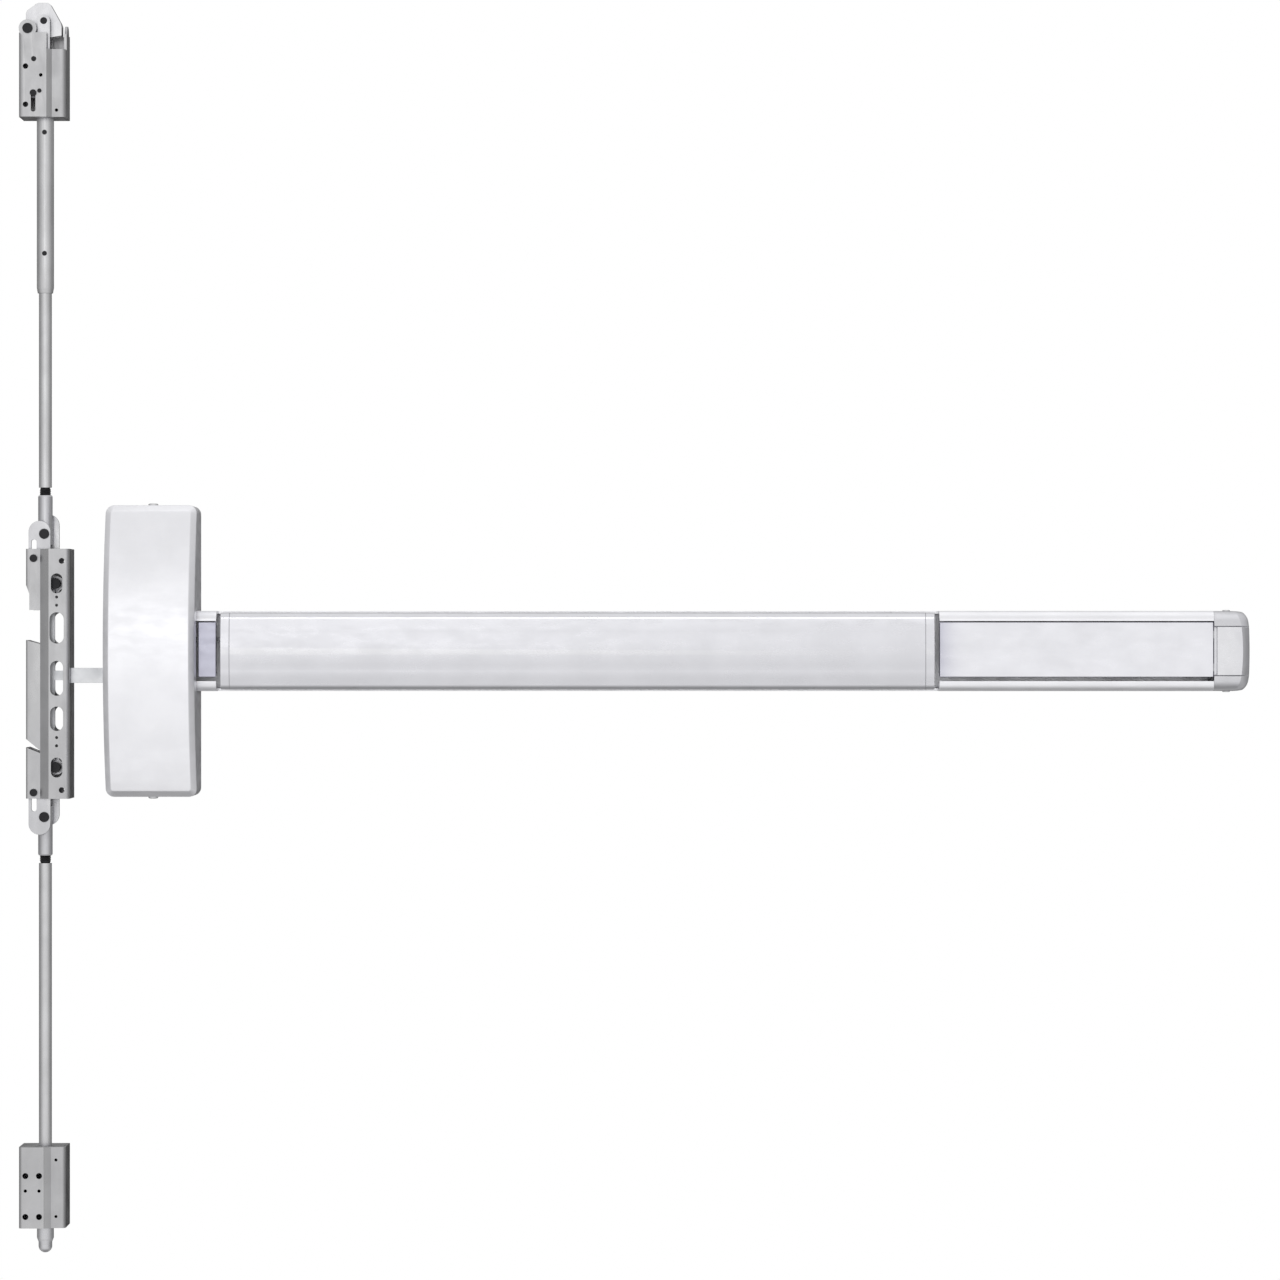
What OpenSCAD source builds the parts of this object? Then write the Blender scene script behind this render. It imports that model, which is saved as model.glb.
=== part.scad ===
// Panic exit bar: a touch bar with a case, a rail and a push pad, and the
// concealed vertical rod set that it draws back. Millimetres.
// X runs along the bar, Y runs into the door and Z is up. The door face is
// the plane Y = 0, and the origin is the centre of the case on that face.

/* [Bar] */
// Distance from the case centre to the far end of the bar
bar_reach = 796; // [780:1:1100]
// Height of the rail
rail_h = 58; // [56:1:60]
// Where the push pad starts, from the case centre
pad_x0 = 52; // [50:1:56]
// Length of the push pad
pad_len = 514; // [500:1:560]
// How far the face of the pad stands in front of the door
pad_front = 66; // [65:1:68]
// Travel of the push pad
pad_travel = 16; // [14:1:16]

/* [Case] */
// Width of the case cover
cover_w = 66; // [65:1:70]
// Height of the case cover
cover_h = 211.4; // [209:0.2:220]
// Depth of the case cover at its crown
cover_crown = 64; // [60:1:66]
// Depth of the case cover at its two ends
cover_end = 40; // [38:1:46]

/* [Rod set] */
// Offset of the rod line from the case centre
rod_offset = 83.5; // [81:0.5:90]
// Height of the centre of the rod set, from the bar's centre line
set_z = -18; // [-18:1:-16]
// Length of the thin top rod
top_rod_len = 180; // [160:5:900]
// Length of the top rod tube
top_tube_len = 161; // [150:1:400]
// Length of the bottom rod
bottom_rod_len = 242.8; // [220:0.2:900]
// Travel of the rods
rod_travel = 12; // [10:1:12]

/* [Hidden] */

round_fn = 48;
$fn = round_fn;
run_gap = 0.05;     // radial clearance of a pin in its bore
slot_gap = 0.25;    // clearance of a driving pin at each side of its fork
sheet = 1.5;        // thickness of the pressed steel parts
plate = 2.5;        // thickness of the base plate and the end bracket
screw_r = 2;        // radius of the screws that hold the bar together
screw_head_r = 3.5;
screw_head_h = 2;
small_screw_r = 1.5;
cover_screw_y = -22;
bracket_screw_z = 96;
plate_half = [30, 102];       // half the width and height of the base plate
plate_hole = [20, 80, 3.3];   // place and radius of its four fixing holes
rail_screw_z = 15;
channel_screw_z = -17;
rocker_screw_z = 19;
cap_screw_y = -16;

silver = "gainsboro";
zinc = "darkgray";
black = [0.1, 0.1, 0.11];
steel = "silver";
rubber = [0.12, 0.12, 0.12];

// Rail and pad sections
rail_back = -plate;
rail_front = -44;
rail_wall = 2.2;
rail_round = 7;
rail_z = rail_h / 2;
rail_x0 = 16;
end_cap_len = 26.7;
rail_x1 = bar_reach - end_cap_len;
rail_screw_x = [24, rail_x1 - 20];
lip_z = rail_z - rail_round - 0.3;
opening_gap = 0.3;            // between the cover and the rail that enters it
filler_z = [2.8 - lip_z, lip_z - 0.6];
cap_screw_x = bar_reach - 15;
cap_side_wall = 2.4;
cap_bevel = 11.5;
cap_bevel_y = -33;
cap_front = rail_front - 1.2;
end_bow = [1.2, 5.5];         // how far the end falls back: evenly, and at its corners
pad_gap = 4.5;
pad_x1 = pad_x0 + pad_len;
pad_z = rail_z - 1.3;
pad_wall = 1.8;
pad_round = 7;
pad_cap_len = 6.5;
skirt_back = -45;
mill_y = skirt_back + pad_travel + 1.5;

// Channel that guides the pad and holds the rockers
chan_z = 24.5;
chan_back = rail_back - rail_wall;
chan_floor = chan_back - sheet;
chan_front = -45.5;
chan_x0 = pad_x0 + pad_cap_len + 2;
chan_x1 = pad_x1 - pad_cap_len - 2;
channel_screw_x = [chan_x0 + 14, (chan_x0 + chan_x1) / 2, chan_x1 - 14];

// Rockers: the pad swings the long arm, the short arm draws the bar along
rocker_y = -25;
rocker_half = 15;
pad_arm = pad_travel / 2 / tan(rocker_half);
bar_arm = 14;
bar_travel = 2 * bar_arm * tan(rocker_half);
rocker_x = [pad_x0 + 88, pad_x1 - 66];
rocker_z = 6;
pivot_r = 3;
pad_pin_r = 2.5;
bar_pin_r = 2;
bar_pin_y = rocker_y + bar_arm;
pad_pin_y = rocker_y - pad_travel / 2;
carrier_front = -pad_front + pad_wall;
carrier_back = carrier_front + plate;
ear_z = [9.8, 12.3];
bracket_z = [13, 15.5];

// Drawbar: a flat strip above the rockers, with a spring rod at its far end
bar_z = [7, 9.5];
bar_y = [-13.5, -8.5];
bar_x0 = -12;
bar_x1 = rocker_x[1] + 20;
spring_y = -14;
spring_z = (bar_z[0] + bar_z[1]) / 2;
spring_len = 25;
abut_x = bar_x1 + spring_len;
bumper_x = [rocker_x[0] + 60, rocker_x[1] - 70];
abutment_z = [0, 16.5];
arm_pin = [bar_x0 + 6, -11];          // x and y of the screw between drawbar and transfer arm
arm_pin_r = 1.8;
arm_screw_x = [bar_x0 + 3, bar_x0 + 9];

// Rod set: everything is placed from the rod line and the set's centre
rod_x = -rod_offset;
rod_y = 22;
set_front = 6;
set_step = 5;
set_back = 38;
set_left = -13.2;
set_right = 19.3;
slope_x = [-2.6, 4.1];      // where the front web slopes back to the left wing
set_up = 92.9;
set_down = 90.4;
lever_x = 8.5;
lever_dz = 67.5;
lever_arm = 13.5;
lever_half = atan(rod_travel / 2 / lever_arm);
drive_arm = bar_travel / 2 / tan(lever_half);
lever_y = [20.5, 23.5];
yoke_y = [17, 19.5];
link_half = 3.5;
guide_half = 5.5;
slide_pin_r = 2.5;
yoke_pin_r = 2;
yoke_x = rod_x + lever_x - bar_travel / 2;
yoke_dz = lever_dz - drive_arm;
slide_left = -11.5;
slide_y = [14, 16.5];
slide_back_y = [27.5, 30];
guide_x = -7.5;
guide_dz = 86;
guide_r = 1.75;
web_hole_x = 10;
clevis_dz = 104;
clevis_r = 2.5;
ear_r = 8;
spacer_x = 13.7;
spacer_z = [66, -102];
spacer_bore = 2.1;
spacer_rivet = 2.9;

// Rods
rod_r = 4.75;
tube_r = 6.3;
connector_r = 5.3;
stud_r = 4.2;
stud_tip_r = 3;
connector_dz = [96, 132.4];
thread_gap = 5.7;
rod_dz = connector_dz[1] + thread_gap;
top_rod_z0 = set_z + rod_dz;
top_rod_z1 = top_rod_z0 + top_rod_len;
tube_z0 = top_rod_z1 - 37;
tube_z1 = tube_z0 + top_tube_len;
bottom_rod_z1 = set_z - rod_dz;
bottom_rod_z0 = bottom_rod_z1 - bottom_rod_len;
tip_depth = 12;      // how far the tip of an adjusting stud enters its rod
cross_pin_r = 1.75;

// Top latch: the rod head draws the bolt round its pivot into the housing
latch_z0 = tube_z1 - 32.5;
latch_z1 = latch_z0 + 61.8;
latch_left = -17.9;
latch_right = 16.1;
latch_wall = 2;
latch_back = 40;
latch_bend = 3.2;
top_split = [2.6, 6.2];     // where the front panel ends and the lower cover panel begins
foot_split = [0.6, 5.6];
panel_drop = 3;
bolt_pivot = [-11.3, latch_z1 + 3];
bolt_y = [16, 28];
bolt_half = atan(rod_travel / 2 / -bolt_pivot[0]);
drive_z = bolt_pivot[1] + rod_travel / 2;
drive_r = 2.5;
stop_pin = [-6.8, latch_z1 - 19.4];
guide_pin = [-7.2, latch_z0 + 17.4];
stop_pin_r = 1.8;
guide_pin_r = 1.4;
rivet_r = 1.5;
tube_pin_z = [tube_z0 + 29, latch_z0 - 10.5];
rivet = [-2.6, guide_pin[1] + 1.6];
head_y = [10.5, 33.5];
head_half = 4.5;

// Bottom latch
foot_z1 = bottom_rod_z0 + 35.1;
foot_z0 = foot_z1 - 59.5;
foot_bolt_r = 6.2;
nose_r = 5;
nose_out = 19.2;
foot_pin_z = bottom_rod_z0 + 4;
foot_pin_r = 1.5;
foot_hole_x = [-12.9, -2.9];
flange_r = 9;

function arc(cx, cy, r, a0, a1, n = 8) =
    [for (i = [0:n]) [cx + r * cos(a0 + (a1 - a0) * i / n), cy + r * sin(a0 + (a1 - a0) * i / n)]];

function backwards(pts) = [for (i = [len(pts) - 1:-1:0]) pts[i]];

// A [y, z] half outline closed by its mirror image below Z = 0
function closed(half) = concat(half, [for (p = backwards(half)) [p[0], -p[1]]]);

// Extrudes a [y, z] outline along X, and an [x, z] outline along Y
module along_x(x0, x1) translate([x0, 0, 0]) rotate([90, 0, 90]) linear_extrude(x1 - x0) children();
module along_y(y0, y1) translate([0, y1, 0]) rotate([90, 0, 0]) linear_extrude(y1 - y0) children();
module along_z(z0, z1) translate([0, 0, z0]) linear_extrude(z1 - z0) children();

module box(x, y, z) translate([x[0], y[0], z[0]]) cube([x[1] - x[0], y[1] - y[0], z[1] - z[0]]);
module rod_along_x(y, z, r, x0, x1) translate([x0, y, z]) rotate([0, 90, 0]) cylinder(r = r, h = x1 - x0);
module rod_along_y(x, z, r, y0, y1) translate([x, y0, z]) rotate([-90, 0, 0]) cylinder(r = r, h = y1 - y0);
module rod_along_z(x, y, r, z0, z1) translate([x, y, z0]) cylinder(r = r, h = z1 - z0);

// A slot with round ends through Y, from z0 to z1 between its end tips
module slot_y(x, z0, z1, r, y0, y1) {
    rod_along_y(x, z0 + r, r, y0, y1);
    rod_along_y(x, z1 - r, r, y0, y1);
    box([x - r, x + r], [y0, y1], [z0 + r, z1 - r]);
}

// A screw along Y with its head at y0 and its tip at y1
module screw_y(x, z, r, head_r, head_h, y0, y1) {
    rod_along_y(x, z, head_r, y0, y0 + head_h);
    rod_along_y(x, z, r, y0 + head_h, y1);
}

// Places what belongs to the rod line, and the upper or lower half of the set
module at_rod() translate([rod_x, 0, 0]) children();
module upper_half() translate([rod_x, 0, set_z]) children();
module lower_half() translate([rod_x, 0, set_z]) mirror([0, 0, 1]) children();

// A helical spring along Z
module coil(r, wire_r, z0, z1, turns) {
    translate([0, 0, z0])
        linear_extrude(z1 - z0, twist = -360 * turns, slices = 20 * turns, segments = 8)
            translate([r, 0]) scale([1, 2.2]) circle(wire_r, $fn = 8);
}

// ---------- Case ----------

module base_plate() color(zinc) difference() {
    box([-plate_half[0], plate_half[0]], [-plate, 0], [-plate_half[1], plate_half[1]]);
    box([bar_x0 - 2, bar_x0 + 22], [-plate - 1, 1], [set_z - 8, set_z + 9]);
    for (sx = [-1, 1], sz = [-1, 1])
        rod_along_y(sx * plate_hole[0], sz * plate_hole[1], plate_hole[2], -plate - 1, 1);
    for (s = [-1, 1]) rod_along_y(rail_screw_x[0], s * rail_screw_z, screw_r + run_gap, -plate - 1, 1);
    for (s = [-1, 1]) rod_along_y(0, s * bracket_screw_z, screw_r + run_gap, -plate - 1, 1);
}

// Side outline of the cover, bowed between its two ends
function cover_side(inset) = let(
    half = cover_h / 2, rise = cover_crown - cover_end,
    bow = (half * half + rise * rise) / 2 / rise, sweep = asin((half - inset) / (bow - inset)))
    concat([[0, -half + inset]], arc(bow - cover_crown, 0, bow - inset, 180 + sweep, 180 - sweep, 24),
    [[0, half - inset]]);

module case_cover() color(silver) difference() {
    along_x(-cover_w / 2, cover_w / 2) polygon(cover_side(0));
    translate([0, 0.01, 0]) along_x(-cover_w / 2 + 2, cover_w / 2 - 2) polygon(cover_side(2));
    along_x(cover_w / 2 - 3, cover_w / 2 + 1) polygon(closed(rail_half(opening_gap, 1)));
    for (s = [-1, 1]) rod_along_z(0, cover_screw_y, screw_r + 0.1, s * cover_h / 2 - 3, s * cover_h / 2 + 3);
}

module cover_brackets() color(zinc) for (s = [0, 1]) mirror([0, 0, s]) difference() {
    top = cover_h / 2 - 2.1;
    union() {
        box([-12, 12], [-30, -plate], [top - 2, top]);
        box([-12, 12], [-plate - 2, -plate], [90, top - 2]);
    }
    rod_along_z(0, cover_screw_y, screw_r + run_gap, top - 5, top + 3);
    rod_along_y(0, bracket_screw_z, screw_r + run_gap, -plate - 3, 1);
}

module cover_screws() color(steel) for (s = [0, 1]) mirror([0, 0, s]) {
    rod_along_z(0, cover_screw_y, 3.6, cover_h / 2, cover_h / 2 + 1.6);
    rod_along_z(0, cover_screw_y, screw_r, cover_h / 2 - 7, cover_h / 2);
    screw_y(0, bracket_screw_z, screw_r, 3.4, 1.8, -plate - 3.8, -0.2);
}

// ---------- Rail ----------

// Half of an outline round the rail, from its back to its front, larger by grow
function rail_half(grow, back) = concat([[back, rail_z + grow]],
    arc(rail_front + rail_round, rail_z - rail_round, rail_round + grow, 90, 180));

module rail_section() difference() {
    polygon(closed(rail_half(0, rail_back)));
    polygon(closed(rail_half(-rail_wall, rail_back - rail_wall)));
    translate([rail_front - 1, -lip_z]) square([rail_wall + 3, 2 * lip_z]);
}

module rail() color(silver) difference() {
    along_x(rail_x0, rail_x1) rail_section();
    // Milled away where the skirts of the pad travel
    box([pad_x0 - pad_gap, pad_x1 + pad_gap], [rail_front - 5, mill_y], [-rail_z - 5, rail_z + 5]);
    for (x = rail_screw_x, s = [-1, 1]) rod_along_y(x, s * rail_screw_z, screw_r + run_gap, -8, 1);
    for (x = channel_screw_x) rod_along_y(x, channel_screw_z, screw_r + run_gap, -8, 1);
}

// A plate that closes the front of the rail, with two legs inside it
module rail_filler(x0, x1) color(silver) {
    box([x0, x1], [rail_front + 0.8, rail_front + 2.6], filler_z);
    for (z = [filler_z[0] + 2.4, filler_z[1] - 4])
        box([x0, x1], [rail_front + 2.6, rail_front + 12], [z, z + 1.6]);
}
module rail_filler_left() rail_filler(cover_w / 2 + 1.2, pad_x0 - pad_gap);
module rail_filler_right() rail_filler(pad_x1 + pad_gap, rail_x1 - 0.2);

// A screw whose head rests on the plane y0
module bar_screw(x, z, y0, y1) screw_y(x, z, screw_r, screw_head_r, screw_head_h, y0 - screw_head_h, y1);

module rail_screws() color(steel) {
    for (x = rail_screw_x, s = [-1, 1])
        bar_screw(x, s * rail_screw_z, rail_back - rail_wall, -0.2);
    for (x = channel_screw_x)
        bar_screw(x, channel_screw_z, chan_floor, rail_back - 0.1);
}

module mechanism_channel() color(zinc) difference() {
    box([chan_x0, chan_x1], [chan_front, chan_back], [-chan_z, chan_z]);
    box([chan_x0 - 1, chan_x1 + 1], [chan_front - 1, chan_floor], [sheet - chan_z, chan_z - sheet]);
    for (x = channel_screw_x) rod_along_y(x, channel_screw_z, screw_r + run_gap, -8, 1);
    for (x = rocker_x, s = [-1, 1]) rod_along_y(x, s * rocker_screw_z, small_screw_r + run_gap, -8, 1);
}

module rocker_brackets() color(zinc) for (x = rocker_x, s = [-1, 1]) translate([x, 0, 0])
    mirror([0, 0, s > 0 ? 0 : 1]) difference() {
        union() {
            box([-9, 9], [rocker_y, chan_floor], bracket_z);
            rod_along_z(0, rocker_y, 9, bracket_z[0], bracket_z[1]);
            box([-9, 9], [chan_floor - 2, chan_floor], [bracket_z[1], 22.6]);
        }
        rod_along_z(0, rocker_y, pivot_r + run_gap, 0, 30);
        rod_along_y(0, rocker_screw_z, small_screw_r + run_gap, -10, 1);
    }

module rocker_pivot_pins() color(steel) for (x = rocker_x) {
    rod_along_z(x, rocker_y, pivot_r, -bracket_z[1] - 1.5, bracket_z[1] + 0.1);
    rod_along_z(x, rocker_y, pivot_r + 1.6, bracket_z[1] + 0.1, bracket_z[1] + 1.8);
    for (s = [-1, 1]) screw_y(x, s * rocker_screw_z, small_screw_r, 2.7, 1.4, chan_floor - 3.4, chan_back);
}

module pad_bumpers() color(rubber) for (x = bumper_x)
    rod_along_y(x, -11, 6, carrier_back + pad_travel + 0.3, chan_floor);

module spring_abutment() color(zinc) difference() {
    union() {
        box([abut_x, abut_x + 3], [-21, chan_floor], abutment_z);
        box([abut_x, abut_x + 12], [chan_floor - 2, chan_floor], abutment_z);
    }
    rod_along_x(spring_y, spring_z, 2.4, abut_x - 1, abut_x + 4);
}

module return_spring() color(steel) translate([bar_x1 + 0.3, spring_y, spring_z]) rotate([0, 90, 0])
    coil(4.2, 0.6, 0, spring_len - 0.6, 6);

// ---------- End cap ----------

// Outline of the end cap seen from the front: its far end bows and its corners are rounded
function end_x(share) = bar_reach - end_bow[0] * pow(share, 2) - end_bow[1] * pow(share, 7);
function end_outline(z) = concat([[rail_x1, -z]],
    [for (i = [-8:8]) [end_x(abs(i / 8)), z * i / 8]], [[rail_x1, z]]);

// Half of its section: the front panel and the long bevel above it
function cap_half() = concat([[0, rail_z]],
    arc(cap_bevel_y, rail_z - cap_bevel, cap_bevel, 90, 160), [[cap_front, rail_z - cap_bevel - 0.1]]);

// Half of the section of its hollow, which follows the bevel
function cap_hollow_half() = concat([[1, rail_z - cap_side_wall]],
    arc(cap_bevel_y, rail_z - cap_bevel, cap_bevel - cap_side_wall, 90, 180));

module end_cap() color(silver) difference() {
    intersection() {
        along_x(rail_x1, bar_reach) polygon(closed(cap_half()));
        along_y(-46, 0) polygon(end_outline(rail_z + 0.5));
    }
    along_x(rail_x1 - 1, bar_reach - 9) polygon(closed(cap_hollow_half()));
    for (s = [-1, 1]) rod_along_z(cap_screw_x, cap_screw_y, small_screw_r + 0.1, s * 30 - 10, s * 30 + 10);
}

module end_bracket() color(zinc) difference() {
    union() {
        box([rail_x1 - 38, bar_reach - 10.5], [-plate, 0], [-24, 24]);
        for (z = [-24, 20]) box([bar_reach - 21, bar_reach - 10.5], [-24, -plate], [z, z + 4]);
    }
    for (s = [-1, 1]) rod_along_y(rail_screw_x[1], s * rail_screw_z, screw_r + run_gap, -plate - 1, 1);
    for (z = [-12, 12]) rod_along_y(rail_x1 + 4, z, 2.75, -plate - 1, 1);
    for (s = [-1, 1]) rod_along_z(cap_screw_x, cap_screw_y, small_screw_r + run_gap, s * 22 - 7, s * 22 + 7);
}

module end_cap_screws() color(steel) for (s = [-1, 1]) mirror([0, 0, s > 0 ? 0 : 1]) {
    rod_along_z(cap_screw_x, cap_screw_y, small_screw_r, 20, rail_z);
    rod_along_z(cap_screw_x, cap_screw_y, 2.8, rail_z, rail_z + 0.9);
}

// ---------- Push pad ----------

function pad_half(r, z, front, back) = concat([[back, z]], arc(front + r, z - r, r, 90, 180));
function pad_outline(inset, back) =
    closed(pad_half(pad_round - inset, pad_z - inset, inset - pad_front, back));

module push_pad() color(silver) along_x(pad_x0 + pad_cap_len, pad_x1 - pad_cap_len) difference() {
    polygon(pad_outline(0, skirt_back));
    polygon(pad_outline(pad_wall, skirt_back + 1));
}

module pad_carrier() color(zinc) {
    difference() {
        union() {
            box([chan_x0 + 10, chan_x1 - 10], [carrier_front, carrier_back], [-18, 18]);
            for (x = rocker_x, s = [-1, 1]) translate([x - pad_arm, 0, 0]) mirror([0, 0, s > 0 ? 0 : 1]) {
                box([-6, 6], [carrier_back, pad_pin_y], ear_z);
                rod_along_z(0, pad_pin_y, 4.5, ear_z[0], ear_z[1]);
            }
        }
        for (x = rocker_x) rod_along_z(x - pad_arm, pad_pin_y, pad_pin_r + run_gap, -20, 20);
    }
}

// The cap that closes one end of the pad, and its tongue inside the pad
module pad_end_cap(x0, x1, tongue) {
    along_x(x0, x1) polygon(pad_outline(0, skirt_back));
    along_x(tongue[0], tongue[1]) polygon(pad_outline(pad_wall + 0.1, -50));
}
module pad_end_caps() color(silver) {
    pad_end_cap(pad_x0, pad_x0 + pad_cap_len, [pad_x0 + pad_cap_len, chan_x0 - 0.2]);
    pad_end_cap(pad_x1 - pad_cap_len, pad_x1, [chan_x1 + 0.2, pad_x1 - pad_cap_len]);
}

module pad_pins() color(steel) for (x = rocker_x)
    rod_along_z(x - pad_arm, pad_pin_y, pad_pin_r, -ear_z[1] - 0.3, ear_z[1] + 0.3);

// ---------- Rockers and drawbar ----------

// A flat arm from the pivot that ends in an open fork for a pin
module fork_arm(reach, half_w, pin_r, pin_reach) difference() {
    translate([0, -half_w]) square([reach, 2 * half_w]);
    translate([pin_reach - pin_r - slot_gap, -pin_r - slot_gap]) square([reach, 2 * (pin_r + slot_gap)]);
}

module rocker(x) color(zinc) translate([x, rocker_y, -rocker_z]) difference() {
    linear_extrude(2 * rocker_z) {
        circle(6.5);
        rotate(180 + rocker_half) fork_arm(pad_arm / cos(rocker_half) + 3, 5.2, pad_pin_r, pad_arm);
        rotate(90 + rocker_half) fork_arm(bar_arm / cos(rocker_half) + 2.2, 4, bar_pin_r, bar_arm);
    }
    translate([0, 0, -1]) cylinder(r = pivot_r + run_gap, h = 2 * rocker_z + 2);
}
module rocker_left() rocker(rocker_x[0]);
module rocker_right() rocker(rocker_x[1]);

function bar_pin_x(x) = x - bar_travel / 2;

module drawbar() color(steel) {
    difference() {
        union() {
            box([bar_x0, bar_x1], bar_y, bar_z);
            box([bar_x1 - 5, bar_x1], [spring_y - 5, bar_y[1]], [spring_z - 5, spring_z + 5]);
        }
        for (x = rocker_x) rod_along_z(bar_pin_x(x), bar_pin_y, bar_pin_r + run_gap, 5, 12);
        rod_along_z(arm_pin[0], arm_pin[1], arm_pin_r + run_gap, 5, 12);
    }
    rod_along_x(spring_y, spring_z, 2, bar_x1, abut_x + 5);
}

module drawbar_pins() color(steel) for (x = rocker_x)
    rod_along_z(bar_pin_x(x), bar_pin_y, bar_pin_r, -rocker_z - 0.5, bar_z[1] + 0.4);

module transfer_arm() color(zinc) difference() {
    union() {
        box([bar_x0, bar_x0 + 12], bar_y, [set_z - 6, bar_z[0] - 0.05]);
        box([bar_x0, bar_x0 + 12], [bar_y[0], yoke_y[0] - 0.05], [set_z - 6, set_z + 6]);
    }
    rod_along_z(arm_pin[0], arm_pin[1], arm_pin_r + run_gap, -5, 12);
    for (x = arm_screw_x) rod_along_y(x, set_z, small_screw_r + run_gap, 5, 20);
}

// The bar that carries the pull to the rod set, with a yoke at its far end
module transfer_bar() color(zinc) difference() {
    union() {
        box([yoke_x - link_half, bar_x0 + 12], yoke_y, [set_z - link_half, set_z + link_half]);
        box([yoke_x - link_half, yoke_x + 2.7], yoke_y,
            [set_z - yoke_dz - link_half, set_z + yoke_dz + link_half]);
    }
    for (s = [-1, 1]) rod_along_y(yoke_x, set_z + s * yoke_dz, yoke_pin_r + run_gap, 10, 25);
    for (x = arm_screw_x) rod_along_y(x, set_z, small_screw_r + run_gap, 5, 20);
}

module yoke_pins() color(black) for (s = [-1, 1])
    rod_along_y(yoke_x, set_z + s * yoke_dz, yoke_pin_r, yoke_y[0] - 0.3, lever_y[1] + 0.4);

module transfer_screws() color(steel) {
    rod_along_z(arm_pin[0], arm_pin[1], arm_pin_r, -4, bar_z[1]);
    rod_along_z(arm_pin[0], arm_pin[1], arm_pin_r + 0.6, bar_z[1], bar_z[1] + 1.8);
    for (x = arm_screw_x) {
        rod_along_y(x, set_z, small_screw_r, 8, yoke_y[1]);
        rod_along_y(x, set_z, small_screw_r + 1.1, yoke_y[1], yoke_y[1] + 1.6);
    }
}

// A tube that ties the rod set to the base plate and guides the transfer bar
module transfer_guide() color(zinc) difference() {
    union() {
        z = [set_z - guide_half, set_z + guide_half];
        box([rod_x + set_right, -20], [yoke_y[0] - 2, yoke_y[1] + 2], z);
        box([-30, -20], [0, yoke_y[0] - 2], z);
        box([-30, -20], [0, 2], [set_z - 14, set_z + 14]);
    }
    box([rod_x, -10], [yoke_y[0] - 0.5, yoke_y[1] + 0.5], [set_z - link_half - 0.5, set_z + link_half + 0.5]);
}

// ---------- Centre of the rod set ----------

// Cuts that open the left edge of the centre housing, as [x, z] outlines
module set_notches() {
    edge = slope_x[0] - 0.1;
    along_y(0, 50) polygon([[-20, 84], [-10.6, 60], [-10.6, 48], [edge, 48], [edge, 23], [-20, 28]]);
    along_y(0, 50) polygon([[-20, -41], [edge, -55], [edge, -57], [-20, -50]]);
}

// Line of the housing's sheet seen from above, from its left wing to its right wall
function set_line(inset) = concat([[set_left + inset, set_back]],
    arc(set_left + 2, set_front + set_step + 2, 2 - inset, 180, 270),
    [[slope_x[0], set_front + set_step + inset], [slope_x[1], set_front + inset]],
    arc(set_right - 3, set_front + 3, 3 - inset, -90, 0), [[set_right - inset, set_back]]);

module centre_housing() color(zinc) difference() {
    translate([rod_x, 0, set_z]) difference() {
        along_z(-set_down, set_up) polygon(concat(set_line(0), backwards(set_line(sheet))));
        set_notches();
        web_openings(4.2, 5.2, 4.7);
        for (z = [57.5, 51.5, -45.5, -51.5]) rod_along_y(web_hole_x, z, 1.1, 0, 10);
        for (s = [-1, 1]) rod_along_y(guide_x, s * guide_dz, guide_r + run_gap, 0, 20);
        box([set_right - 3, set_right + 1], [yoke_y[0] - 0.5, yoke_y[1] + 0.5],
            [-link_half - 0.5, link_half + 0.5]);
    }
    at_rod() for (z = spacer_z) rod_along_y(spacer_x, z, spacer_bore, 0, 10);
}

// The openings in the front web and, wider, in the back plate
module web_openings(stud_slot_r, oval_r, slot_r) {
    for (s = [-1, 1]) slot_y(web_hole_x, s * lever_dz - 7.3, s * lever_dz + 7.3, stud_slot_r, 0, 10);
    slot_y(web_hole_x, 23.4, 46.3, oval_r, 0, 50);
    slot_y(web_hole_x, -14.9, 10.7, slot_r, 0, 50);
    slot_y(web_hole_x, -40.6, -22.8, slot_r, 0, 50);
}

module centre_back_plate() color(zinc) difference() {
    translate([rod_x, 0, set_z]) difference() {
        box([set_left, set_right], [set_back, set_back + 2], [-set_down, set_up]);
        set_notches();
        web_openings(0.5, 5.2, 4.7);
        for (s = [-1, 1]) {
            rod_along_y(lever_x, s * lever_dz, pivot_r + run_gap, 30, 50);
            rod_along_y(guide_x, s * guide_dz, guide_r + run_gap, 30, 50);
        }
    }
    at_rod() for (z = spacer_z) rod_along_y(spacer_x, z, spacer_rivet, 30, 50);
}

// Threaded spacers, riveted into the back plate
module housing_spacers() color(steel) at_rod() for (z = spacer_z) difference() {
    union() {
        rod_along_y(spacer_x, z, 3.6, set_front + sheet + 0.8, set_back);
        rod_along_y(spacer_x, z, spacer_rivet, set_back, set_back + 2.6);
    }
    rod_along_y(spacer_x, z, spacer_bore, 0, 50);
}

module lever_studs() color(black) translate([rod_x, 0, set_z]) for (s = [-1, 1]) {
    rod_along_y(lever_x, s * lever_dz, pivot_r, 11.5, set_back + 2);
    rod_along_y(lever_x, s * lever_dz, pivot_r + 0.9, 9.5, 11.5);
    rod_along_y(lever_x, s * lever_dz, pivot_r + 1.6, set_back + 2, set_back + 3.4);
}

module slide_guide_pins() color(black) translate([rod_x, 0, set_z]) for (s = [-1, 1]) {
    rod_along_y(guide_x, s * guide_dz, guide_r, 11, set_back + 2);
    rod_along_y(guide_x, s * guide_dz, guide_r + 1, 9.4, 11);
    rod_along_y(guide_x, s * guide_dz, guide_r + 1, set_back + 2, set_back + 3.2);
}

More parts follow.
